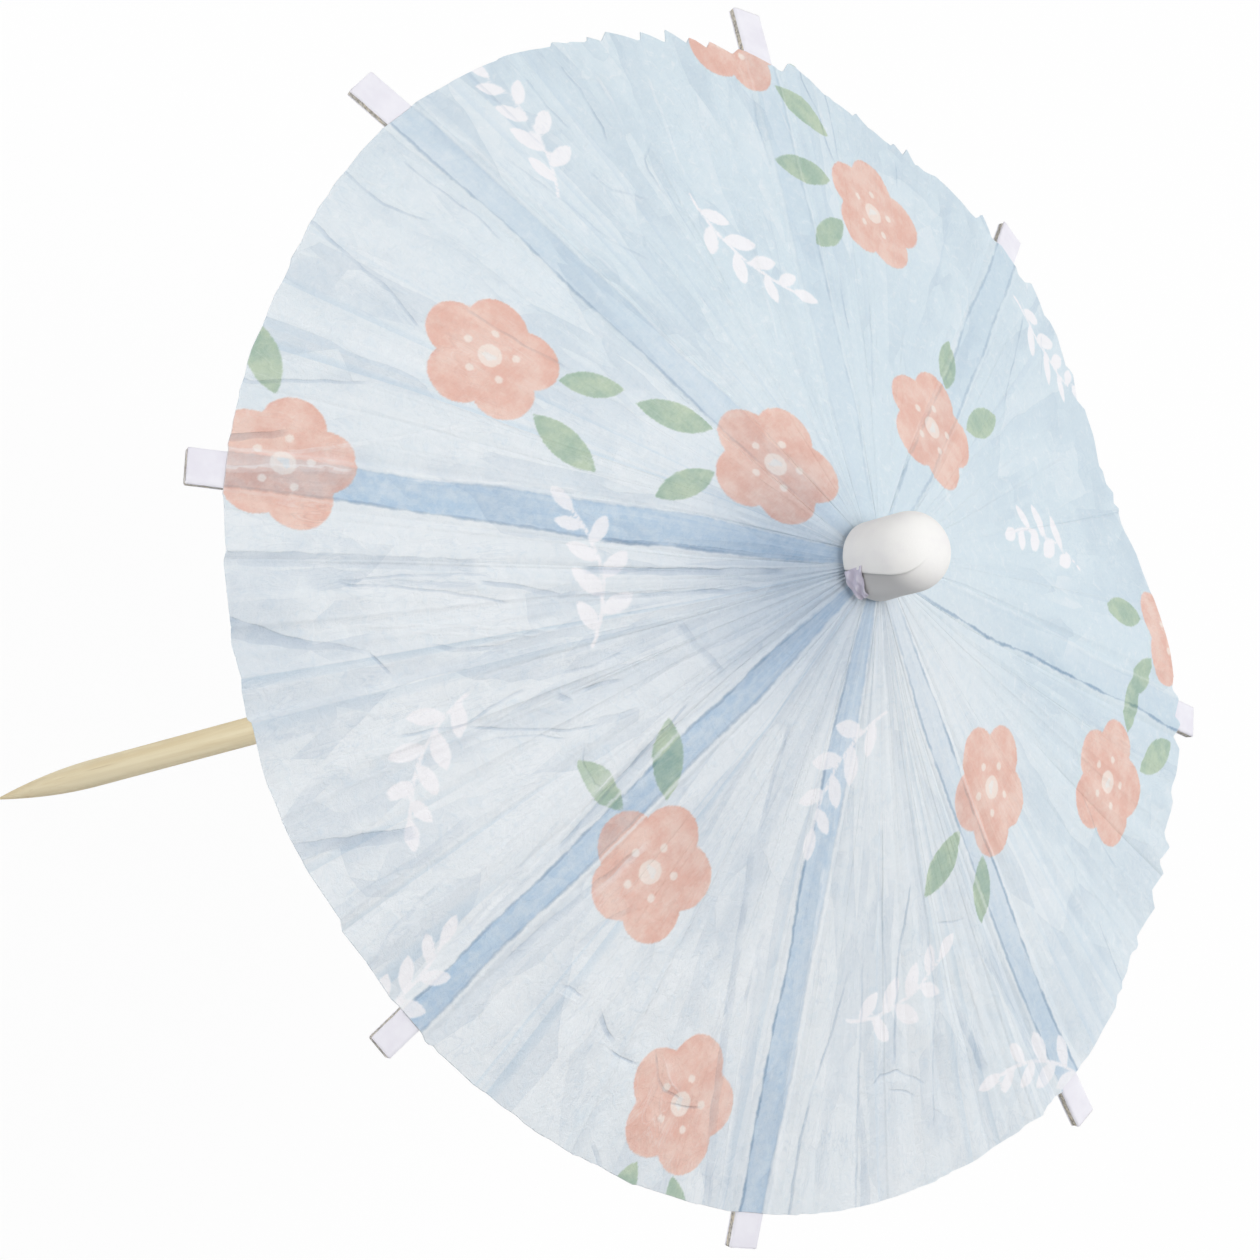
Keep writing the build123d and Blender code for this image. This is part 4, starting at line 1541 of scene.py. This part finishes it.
    def columns(self, number: int, share: Array, band_turn: Array) -> list[Array]:
        """Lay out a share's columns: the creased half towards the last rib, the band on the card and the other half.

        Args:
            number: Rib, from 0.
            share: Place of each row from eye to rim.
            band_turn: Half the width of the band at each row, in radians.

        Returns:
            Rows by columns: azimuth from the rib, crease height, doubling, 1 on the card, the bow carried over from the
            neighbouring rib, and the panel's lift.
        """
        lay, halves = self.layout, {}
        for side in (-1, 1):
            reach = abs(lay.azimuth(number + side) - lay.azimuth(number)) / 2
            places, crease, doubled = self.side_nodes(number, side, share)
            place, height, twice = self.across(places), self.across(crease), self.lapped(doubled)
            height[:: len(self.parts)] += self.hairlines(number, side, len(places), share)
            wave = 0.5 - 0.5 * np.cos(math.pi * place)
            carried = 0.5 * (lay.bow[(number + side) % RIBS] - lay.bow[number]) * wave
            hang = self.panel_lift[self.seam(number, side)] * wave * share**self.hang_power
            card = np.zeros(place.shape)
            card[0], card[1] = 1.0, 0.25
            halves[side] = (side * (band_turn + place * (reach - band_turn)), height, twice, card, carried, hang)
        over = np.linspace(-1.0, 1.0, self.band_columns + 2)[1:-1, None] * band_turn
        flat = np.zeros(over.shape)
        middle = (over, flat, flat, flat + 1.0, flat, flat)
        return [np.concatenate([left[::-1], band, right]).T for left, band, right in zip(halves[-1], middle, halves[1])]

    def gore(self, number: int) -> Piece:
        """One rib's share of the sheet.

        Rows run from the eye to the rim, and columns across: a flat band over the rib, and creased halves on both
        sides out to the valley folds. A point's height is the cone plus the crease height plus crumples and gathers.

        Args:
            number: Rib, from 0.

        Returns:
            The piece with its attributes.
        """
        lay = self.layout
        here = lay.azimuth(number)
        share = np.linspace(0.0, 1.0, self.rows)
        own = lay.paper_eye + (float(lay.rim(here)) - lay.paper_eye) * share
        band = lay.half_width((own - lay.crease_radius) / lay.lean) + self.band_margin
        band_turn = np.arcsin(np.clip(band / own, 0.0, 0.95))
        turn, height, doubled, card, carried, hang = self.columns(number, share, band_turn)
        azimuth, share = here + turn, share[:, None]
        cut = share**self.rim_power * self.ragged(azimuth)
        spread = lay.paper_eye + (lay.rim(azimuth) - lay.paper_eye) * share + cut
        sheet = Sheet(turn, azimuth, spread, share, smoothstep(-0.3, 0.5, card), doubled)
        x, y = sheet.x, sheet.y
        # step: painted shade and light on the facets beside each fold.
        folded, relief, step = self.folds.fields(x, y)
        loose = 1.0 - sheet.held * self.glue_hold
        height = np.maximum(height + loose * (self.crumple(x, y) + self.gather(sheet) + relief), self.lowest)
        base = lay.cone_top - lay.slope * spread + (lay.bow[number] + carried) * lay.climb(spread) + hang
        lower = np.stack([x, y, base + self.glue + np.where(card > 0.5, np.maximum(height, 0.0), height)], axis=-1)
        upper = lower + np.array([0.0, 0.0, self.thickness / lay.lean])
        piece = shell(f"canopy_paper_{number + 1}", upper, lower)
        for name, values in {"step": step, **self.tones(number, sheet), **self.pattern.distances(x, y)}.items():
            write_attribute(piece, name, np.tile(np.broadcast_to(values, x.shape).ravel(), 2))
        round_scale, out_scale = self.polar_scale
        vectors = {
            "flat": np.stack([x, y, 0.0 * x], axis=-1),
            "polar": np.stack([azimuth * round_scale, spread * out_scale, 0.0 * x], axis=-1),
            **self.band(number, sheet),
            **{f"fold_{layer}": values for layer, values in enumerate(folded)},
        }
        for name, values in vectors.items():
            write_attribute(piece, name, np.tile(values.reshape(-1, 3), (2, 1)))
        return piece

    def build(self) -> list[Piece]:
        """Returns:
            The pieces.
        """
        lay, layers = self.layout, len(self.folds.layers())
        front = TissueFinish("printed_tissue", 1.0, 1.0, layers).material()
        back = TissueFinish("tissue_underside", 0.45, 0.0, layers).material()
        pieces = []
        for number in range(RIBS):
            piece = self.gore(number)
            piece.data.materials.append(front)
            piece.data.materials.append(back)
            label = number + 1
            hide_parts(f"paper_gore_{label}")
            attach(piece, f"rib_{label}")
            here, root = lay.azimuth(number), lay.crease_radius
            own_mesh(piece)
            pitch = (lay.azimuth(number + 1) - lay.azimuth(number - 1)) / 2
            outer, inner = float(lay.rim(here)) * MM / lay.lean, lay.paper_eye * MM / lay.lean
            pieces.append(piece)
        return pieces


@dataclass
class Ribs:
    """Card ribs under the canopy, with white faces, cut edges that show the core, and tips past the rim."""

    layout: Layout
    stations: int = 90
    roughness: float = 0.03
    fray_most: float = 0.02
    root_steps: int = 6
    trim_along: tuple[float, float] = (2.0, 14.0)
    tip_round: float = 0.14
    tip_thin: float = 0.035
    tip_core: float = 0.75
    face_points: int = 9
    edge_heights: tuple[float, ...] = (-0.86, -0.62, -0.5, 0.5, 0.62, 0.86)
    face_share: float = 0.96
    core_below: float = 0.55
    seed: int = 300

    def section(self) -> tuple[Array, Array, Array]:
        """Cross-section of a strip with unit half sizes and small rounded corners.

        Returns:
            Side place from -1 to 1, height from -1 to 1, and 1 where the core shows.
        """
        face = np.linspace(-1.0, 1.0, self.face_points) * self.face_share
        edge = np.array(self.edge_heights)
        level, upright = np.ones(len(face)), np.ones(len(edge))
        bare = (np.abs(edge) < self.core_below).astype(float)
        side = np.concatenate([face, upright, -face, -upright])
        up = np.concatenate([-level, edge, level, -edge])
        return side, up, np.concatenate([0.0 * level, bare, 0.0 * level, bare])

    def rib(self, number: int) -> Piece:
        """One rib: the section carried along the strip, rounded about the crease and closed at the tip.

        Args:
            number: Rib, from 0.

        Returns:
            The piece with its core attribute.
        """
        lay = self.layout
        draw = np.random.default_rng(self.seed + number)
        side, up, core = self.section()
        half = lay.rib_thickness / 2
        root = half * np.sin(np.linspace(-0.5 * math.pi, 0.0, self.root_steps)[1:-1])
        tip_at = lay.rib_length + lay.rib_extra[number]
        along = np.concatenate([root, np.linspace(0.0, tip_at - 0.12, self.stations), [tip_at - 0.05, tip_at, tip_at]])
        thick = np.where(along < 0, np.sqrt(np.maximum(half**2 - along**2, 1e-6)), half)
        cut = 1.0 - lay.rib_trim[number] * smoothstep(*self.trim_along, along)
        wide = lay.half_width(along) * cut
        wide[-3] -= 0.05 * self.tip_round
        wide[-2] = lay.rib_width / 2 * cut[-1] - self.tip_round * 0.6
        thick[-2] = half - self.tip_thin
        thick[-1], wide[-1] = half * 0.92, wide[-2] - 0.03
        fray = draw.normal(0.0, self.roughness, (len(along), len(side))) * core
        across = side * wide[:, None] + np.sign(side) * np.minimum(fray, self.fray_most)
        local = np.stack(np.broadcast_arrays(along[:, None], across, up * thick[:, None]), axis=-1)
        bare = np.broadcast_to(core, across.shape).copy()
        bare[-1] = self.tip_core
        piece = ringed(f"card_rib_{number + 1}", self.placed(local, number))
        write_attribute(piece, "core", np.concatenate([bare.ravel(), [0.0, 1.0]]))
        return piece

    def placed(self, local: Array, number: int) -> Array:
        """Carry points from a rib's own frame to their place under the canopy.

        Args:
            local: Points along the rib, across it and up.
            number: Rib, from 0.

        Returns:
            The points in the part's frame.
        """
        lay = self.layout
        tilt, turn = math.radians(lay.slope_deg), lay.azimuth(number)
        along, across, up = np.moveaxis(local, -1, 0)
        out = lay.crease_radius + along * math.cos(tilt) + up * math.sin(tilt)
        high = lay.crown_z - along * math.sin(tilt) + up * math.cos(tilt) + lay.bow[number] * lay.climb(out)
        x = out * math.cos(turn) - across * math.sin(turn)
        y = out * math.sin(turn) + across * math.cos(turn)
        return np.stack([x, y, high], axis=-1)

    def build(self) -> list[Piece]:
        """Build and dress the ribs, and dress the card stretchers.

        Returns:
            The new pieces.
        """
        strip = CardFinish("rib_card").material()
        pieces = []
        for number in range(RIBS):
            piece = self.rib(number)
            piece.data.materials.append(strip)
            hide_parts(f"rib_{number + 1}")
            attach(piece, f"rib_{number + 1}")
            pieces.append(piece)
        plain = CardFinish("stretcher_card", by_attribute=False).material()
        for name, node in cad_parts.items():
            if name.startswith("stretcher") or name == "rib_feet":
                dress(node, plain)
        return pieces


def dress(piece: Piece, material: Material) -> None:
    """Give a piece one material in place of those that it came with."""
    piece.data.materials.clear()
    piece.data.materials.append(material)


@dataclass
class Crown:
    """Wound paper cap with a loose end over an inner layer in grey painted shade, a crumpled corner with painted shade
    in its valleys and a sleeve inside.
    """

    base_z: float = 95.937
    radius: float = 2.65
    roof_z: float = 100.02
    roof: float = 1.55
    round_top: float = 2.3
    blunt: float = 0.8
    bore: float = 2.06
    lip: float = 0.25
    axis_gap: float = 0.02
    bore_points: int = 4
    lip_points: int = 6
    wall_points: int = 26
    over_points: int = 50
    round_points: int = 216
    lap: float = 0.2
    lap_turn: float = math.radians(62.0)
    lap_slant: float = math.radians(6.5)
    lap_edge: float = 0.012
    uneven: float = 0.04
    corner_long: float = 2.1
    corner_tall: float = 1.7
    corner_ridge: float = 0.3
    corner_paper: float = 0.07

    def profile(self) -> tuple[Array, Array]:
        """Half-section of the cap from the roof inside, down the bore, round the lip, up the wall and over to the axis.

        Returns:
            Radius and height at each point.
        """
        top = self.roof_z + self.roof
        lip = np.linspace(0.0, 0.5 * math.pi, self.lip_points)
        wall = np.linspace(self.base_z + self.lip, top - self.round_top, self.wall_points)[1:]
        over = np.linspace(0.0, 0.5 * math.pi, self.over_points)[1:]
        r = np.concatenate([
            [self.axis_gap, self.bore], np.full(self.bore_points, self.bore),
            self.radius - self.lip * (1 - np.sin(lip)), np.full(len(wall), self.radius),
            np.maximum(self.radius * np.cos(over) ** self.blunt, self.axis_gap),
        ])
        z = np.concatenate([
            [self.roof_z, self.roof_z], np.linspace(self.roof_z - 0.4, self.base_z, self.bore_points),
            self.base_z + self.lip * (1 - np.cos(lip)), wall, top - self.round_top * (1 - np.sin(over) ** self.blunt),
        ])
        return r, z

    def cap(self) -> Piece:
        """The cap: its half-section turned about the axis, with the step of the winding's loose end.

        The radius drops by the lap at the loose end and grows back over one turn. Past the step the inner layer carries
        a grey painted shade, strongest there and fading round the wall and towards the end. Lip and wall are slightly
        uneven.

        Returns:
            The piece.
        """
        r, z = (values[:, None] for values in self.profile())
        turn = np.linspace(0.0, math.tau, self.round_points, endpoint=False)
        past = ((turn - self.lap_turn - self.lap_slant * (z - self.base_z)) / math.tau) % 1.0
        outside = np.where(np.arange(len(r))[:, None] >= 2 + self.bore_points, r / self.radius, 0.0)
        edge = smoothstep(0.0, self.lap_edge, past)
        step = -self.lap * edge * (1.0 - smoothstep(self.lap_edge, 1.0, past))
        uneven = self.uneven * ripple(4 * np.cos(turn)[None, :], 4 * np.sin(turn)[None, :] + z * 0.7, 5.0, 12)
        piece = ringed("wound_cap", turned(r + outside * (step + uneven), turn, z))
        # Painted grey shade past the lap step: darkest at the step, fading round the wall and towards the end.
        bare = edge * (1.0 - 0.45 * smoothstep(self.lap_edge, 0.14, past)) * (1.0 - smoothstep(0.2, 0.34, past))
        bare = bare * (1.0 - smoothstep(self.roof_z - 0.9, self.roof_z + 1.15, z))
        write_attribute(piece, "under", np.append(bare.ravel(), [0.0, 0.0]))
        return piece

    def corner(self) -> Piece:
        """Loose corner of the wound strip, crumpled against the wall just past the lap, near the lip.

        It is a small triangle, tall at the lap and low at its far end, with zigzag ridges and painted shade in the
        valleys between them.

        Returns:
            The piece.
        """
        along, up = np.meshgrid(np.linspace(0.0, 1.0, 22), np.linspace(0.0, 1.0, 18), indexing="ij")
        turn = self.lap_turn + 0.08 + along * self.corner_long / self.radius - 0.05 * up
        first, second = zigzag(1.6 * along + 1.3 * up), zigzag(2.3 * up - 1.1 * along + 0.2)
        away = self.radius - 0.05 + self.corner_ridge * first + self.corner_ridge * second * (1.0 - 0.5 * up)
        high = self.base_z + 0.03 + self.corner_tall * up * (1.0 - 0.55 * along) + 0.12 * zigzag(2.1 * along + 0.3)
        piece = shell("cap_corner", turned(away - self.corner_paper, turn, high), turned(away, turn, high))
        # Painted shade in the corner's zigzag valleys.
        write_attribute(piece, "under", np.tile(smoothstep(0.2, 0.75, 1.2 - first - 0.7 * second).ravel(), 2))
        return piece

    def build(self) -> list[Piece]:
        """Build and dress the cap and its corner, and dress the sleeve.

        Returns:
            The new pieces.
        """
        paper = WoundFinish("cap_paper", painted_shade_share=1.0).material()
        flap = WoundFinish(
            "cap_corner_paper", base=paint(242, 239, 247), shade=paint(226, 221, 236), inner=paint(190, 183, 203),
            painted_shade_share=0.75,
        ).material()
        cap, corner = self.cap(), self.corner()
        for piece, finish in ((cap, paper), (corner, flap)):
            piece.data.materials.append(finish)
            piece.data.materials.append(finish)
            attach(piece, "pick")
        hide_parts("top_cap")
        dress(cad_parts["crown_sleeve"], WoundFinish("sleeve_paper", fleck_share=0.5).material())
        return [cap, corner]


@dataclass
class Stick:
    """Wooden pick: a full rounded point, a straight shank with fine grain ridges, and a blunt end in the crown."""

    length: float = 100.0
    radius: float = 1.0
    point: float = 12.0
    fullness: float = 5.5
    tip: float = 0.08
    taper: float = 0.05
    taper_z: float = 64.0
    blunt: float = 0.2
    grain: float = 0.012
    point_rings: int = 60
    shank_rings: int = 140
    round_points: int = 64

    def build(self) -> Piece:
        """Turn the stick: a quadratic curve at the point, then straight, with shallow ridges along the grain.

        Returns:
            The piece.
        """
        t = np.linspace(0.0, 1.0, self.point_rings)
        knee = self.point - self.fullness
        z_point = 2 * (1 - t) * t * knee + t**2 * self.point
        r_point = (1 - t) ** 2 * self.tip + (1 - (1 - t) ** 2) * self.radius
        z_shank = np.linspace(self.point, self.length - self.blunt, self.shank_rings)[1:]
        narrowed = np.clip((z_shank - self.taper_z) / (self.length - self.taper_z), 0.0, 1.0)
        z = np.concatenate([z_point, z_shank, [self.length]])[:, None]
        r_shank, r_end = self.radius - self.taper * narrowed, self.radius - self.taper - self.blunt
        r = np.concatenate([r_point, r_shank, [r_end]])[:, None]
        turn = np.linspace(0.0, math.tau, self.round_points, endpoint=False)
        ridges = ripple(6 * np.cos(turn)[None, :] + 0.02 * z, 6 * np.sin(turn)[None, :], 2.2, 5)
        radius = r * (1.0 - self.grain * (1.0 + ridges) * np.clip(r, 0.0, 1.0))
        piece = ringed("wooden_pick", turned(radius, turn, z))
        piece.data.materials.append(WoodFinish("pick_wood").material())
        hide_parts("pick")
        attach(piece, "pick")
        return piece


@dataclass
class Runner:
    """Sliding runner: a rolled paper scroll, a white paper collar round the stretcher feet and the retaining ring."""

    bore: float = 1.06
    scroll_radius: float = 1.545
    scroll_z: float = 69.17
    scroll_length: float = 15.0
    collar_bore: float = 2.04
    collar_radius: float = 2.44
    collar_z: float = 77.22
    collar_length: float = 5.0
    lap_turn: float = 1.1
    lap_edge: float = 0.98
    uneven: float = 0.012
    round_points: int = 120
    wall_rings: int = 30

    def roll(
        self, name: str, bore: float, radius: float, bottom: float, length: float, lap: float, ragged: float, seed: int,
    ) -> Piece:
        """Rolled paper tube: its outside steps at the loose edge, and its ends are slightly ragged.

        Args:
            name: Name of the piece.
            bore: Inner radius.
            radius: Outer radius.
            bottom: Height of the lower end.
            length: Length of the tube.
            lap: Height of the step.
            ragged: How uneven the ends are.
            seed: Seed of the unevenness.

        Returns:
            The piece, whose section is one closed ring of points carried round the axis.
        """
        turn = np.linspace(0.0, math.tau, self.round_points, endpoint=False)
        up = np.linspace(0.0, 1.0, self.wall_rings)
        since = ((turn - self.lap_turn) / math.tau) % 1.0
        step = -lap * (smoothstep(0.0, self.lap_edge, since) - smoothstep(self.lap_edge, 1.0, since))
        r = np.repeat([radius, bore], len(up))[:, None]
        t = np.concatenate([up, up[::-1]])[:, None]
        x, y = 3 * np.cos(turn)[None, :], 3 * np.sin(turn)[None, :]
        ends = np.clip(ragged * ripple(x, y + 5 * t, 2.0, seed), -ragged, ragged)
        ends = ends * np.where((t == 0.0) | (t == 1.0), 1.0, 0.0)
        out = r + np.where(r == radius, step + self.uneven * ripple(x, y + 9 * t, 2.5, seed + 1), 0.0)
        high = bottom + ragged + t * (length - 2 * ragged) + ends
        here, last = np.arange(len(turn)), (len(r) - 1) * len(turn)
        after = (here + 1) % len(turn)
        joined = np.stack([here + last, here, after, after + last], axis=-1)
        faces = np.concatenate([grid_quads(len(r), len(turn), Weld.RING), joined])
        return new_piece(name, turned(out, turn, high), faces[:, ::-1].tolist())

    def build(self) -> list[Piece]:
        """Build and dress the scroll and the collar, and dress the ring.

        Returns:
            The new pieces.
        """
        scroll = self.roll(
            "rolled_scroll", self.bore, self.scroll_radius, self.scroll_z, self.scroll_length,
            lap=0.07, ragged=0.08, seed=21,
        )
        collar = self.roll(
            "paper_collar", self.collar_bore, self.collar_radius, self.collar_z, self.collar_length,
            lap=0.08, ragged=0.05, seed=31,
        )
        newsprint = WoundFinish(
            "scroll_paper", base=paint(226, 223, 216), shade=paint(206, 203, 198), fleck=paint(120, 122, 128),
            fleck_share=0.6,
        )
        plain = WoundFinish("collar_paper")
        for piece, node, finish in ((scroll, "runner_scroll", newsprint), (collar, "runner_collar", plain)):
            piece.data.materials.append(finish.material())
            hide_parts(node)
            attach(piece, "runner")
        dress(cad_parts["lock_ring"], PlasticFinish("ring_plastic").material())
        return [scroll, collar]


@dataclass(frozen=True)
class Lamp:
    """Round soft lamp: where it shines from, the level it gives a facing white surface, its distance and its size."""

    name: str
    way: tuple[float, float, float]
    level: float
    distance: float
    size: float

    def hang(self, aim_z: float) -> None:
        """Hang the lamp, facing a point on the axis. Its power follows from level, distance and size.

        Args:
            aim_z: Height of the point, in millimetres.
        """
        data = bpy.data.lights.new(self.name, "AREA")
        spread = (self.distance**2 + self.size**2 / 4) * MM**2
        data.shape, data.size, data.energy = "DISK", self.size * MM, self.level * math.pi**2 * spread
        lamp = bpy.data.objects.new(self.name, data)
        way = Vector(self.way).normalized()
        lamp.location = (Vector((0.0, 0.0, aim_z)) + way * self.distance) * MM
        lamp.rotation_mode = "QUATERNION"
        lamp.rotation_quaternion = (-way).to_track_quat("-Z", "Y")
        lamp.visible_camera = False
        bpy.context.scene.collection.objects.link(lamp)


@dataclass
class Studio:
    """White floor, four soft lamps, even light all round and the camera."""

    camera_at: tuple[float, float, float] = (117.646, 253.274, 388.772)
    forward: tuple[float, float, float] = (-0.27888, -0.59992, -0.74988)
    image_right: tuple[float, float, float] = (-0.54095, -0.54705, 0.63883)
    focal_pixels: float = 6500.0
    image_pixels: float = 1260.0
    sensor: float = 36.0
    lamps: tuple[Lamp, ...] = (
        Lamp("key", (0.766, 0.546, 0.342), 0.29, 600.0, 420.0),
        Lamp("side", (-0.387, -0.67, 0.633), 0.335, 600.0, 520.0),
        Lamp("top", (0.0, 0.0, 1.0), 0.44, 700.0, 360.0),
        Lamp("low", (0.45, 0.765, -0.461), 0.14, 178.0, 50.0),
    )
    lamp_aim: float = 88.0
    fill: float = 0.33
    floor_half: float = 2500.0
    floor_points: int = 9
    floor_glow: float = 0.95

    def camera(self) -> Piece:
        """Place the camera as the photograph's: by its place, its view direction and the direction of image right.

        Returns:
            The camera.
        """
        data = bpy.data.cameras.new("view")
        data.sensor_width = self.sensor
        data.lens = self.focal_pixels * self.sensor / self.image_pixels
        data.clip_start, data.clip_end = 0.01, 20.0
        back = -Vector(self.forward).normalized()
        right = Vector(self.image_right).normalized()
        up = back.cross(right).normalized()
        right = up.cross(back)
        camera = bpy.data.objects.new("view", data)
        turn = Matrix((right, up, back)).transposed().to_4x4()
        camera.matrix_world = Matrix.Translation(Vector(self.camera_at) * MM) @ turn
        bpy.context.scene.collection.objects.link(camera)
        bpy.context.scene.camera = camera
        return camera

    def floor(self) -> Piece:
        """Large white floor at the pick's point, which shows nearly white and keeps a light shadow.

        Returns:
            The floor.
        """
        side = np.linspace(-self.floor_half, self.floor_half, self.floor_points)
        x, y = np.meshgrid(side, side, indexing="ij")
        grid = np.stack([x, y, np.zeros(x.shape)], axis=-1)
        piece = new_piece("floor", grid, grid_quads(*x.shape, Weld.OPEN).tolist(), smooth=False)
        g = Graph("white_floor")
        g.finish(paint(238, 238, 238), 0.9, shine=0.1)
        rays = g.node("LightPath", {})
        seen = g.sums("MAXIMUM", rays["Is Camera Ray"], rays["Is Glossy Ray"], rays["Is Transmission Ray"])
        g.blend(g.times(seen, self.floor_glow), g.node("Emission", {})[0])
        piece.data.materials.append(g.material)
        return piece

    def light(self) -> None:
        """Even white light from all sides, brighter only as the background that is seen, and the lamps."""
        world = bpy.data.worlds.new("studio")
        world.use_nodes = True
        tree = world.node_tree
        back = tree.nodes["Background"]
        path = tree.nodes.new("ShaderNodeLightPath")
        seen = tree.nodes.new("ShaderNodeMath")
        seen.operation = "MAXIMUM"
        tree.links.new(path.outputs["Is Camera Ray"], seen.inputs[0])
        tree.links.new(path.outputs["Is Glossy Ray"], seen.inputs[1])
        level = tree.nodes.new("ShaderNodeMapRange")
        level.inputs["To Min"].default_value = self.fill
        level.inputs["To Max"].default_value = 1.0
        tree.links.new(seen.outputs[0], level.inputs["Value"])
        tree.links.new(level.outputs["Result"], back.inputs["Strength"])
        back.inputs["Color"].default_value = (1.0, 1.0, 1.0, 1.0)
        bpy.context.scene.world = world
        for lamp in self.lamps:
            lamp.hang(self.lamp_aim)

    def build(self) -> None:
        """Set up camera, floor and light with plain colour management."""
        self.camera()
        self.floor()
        self.light()
        bpy.context.scene.view_settings.view_transform = "Standard"


def main() -> None:
    """Build every sub-assembly in order and report its pieces."""
    logging.basicConfig(level=logging.INFO, format="%(name)s: %(message)s")
    layout = Layout()
    Studio().build()
    made = [*Ribs(layout).build(), *Canopy(layout).build(), *Crown().build(), Stick().build(), *Runner().build()]
    for piece in made:
        LOG.info("%s has %d faces", piece.name, len(piece.data.polygons))


if __name__ == "__main__":
    main()
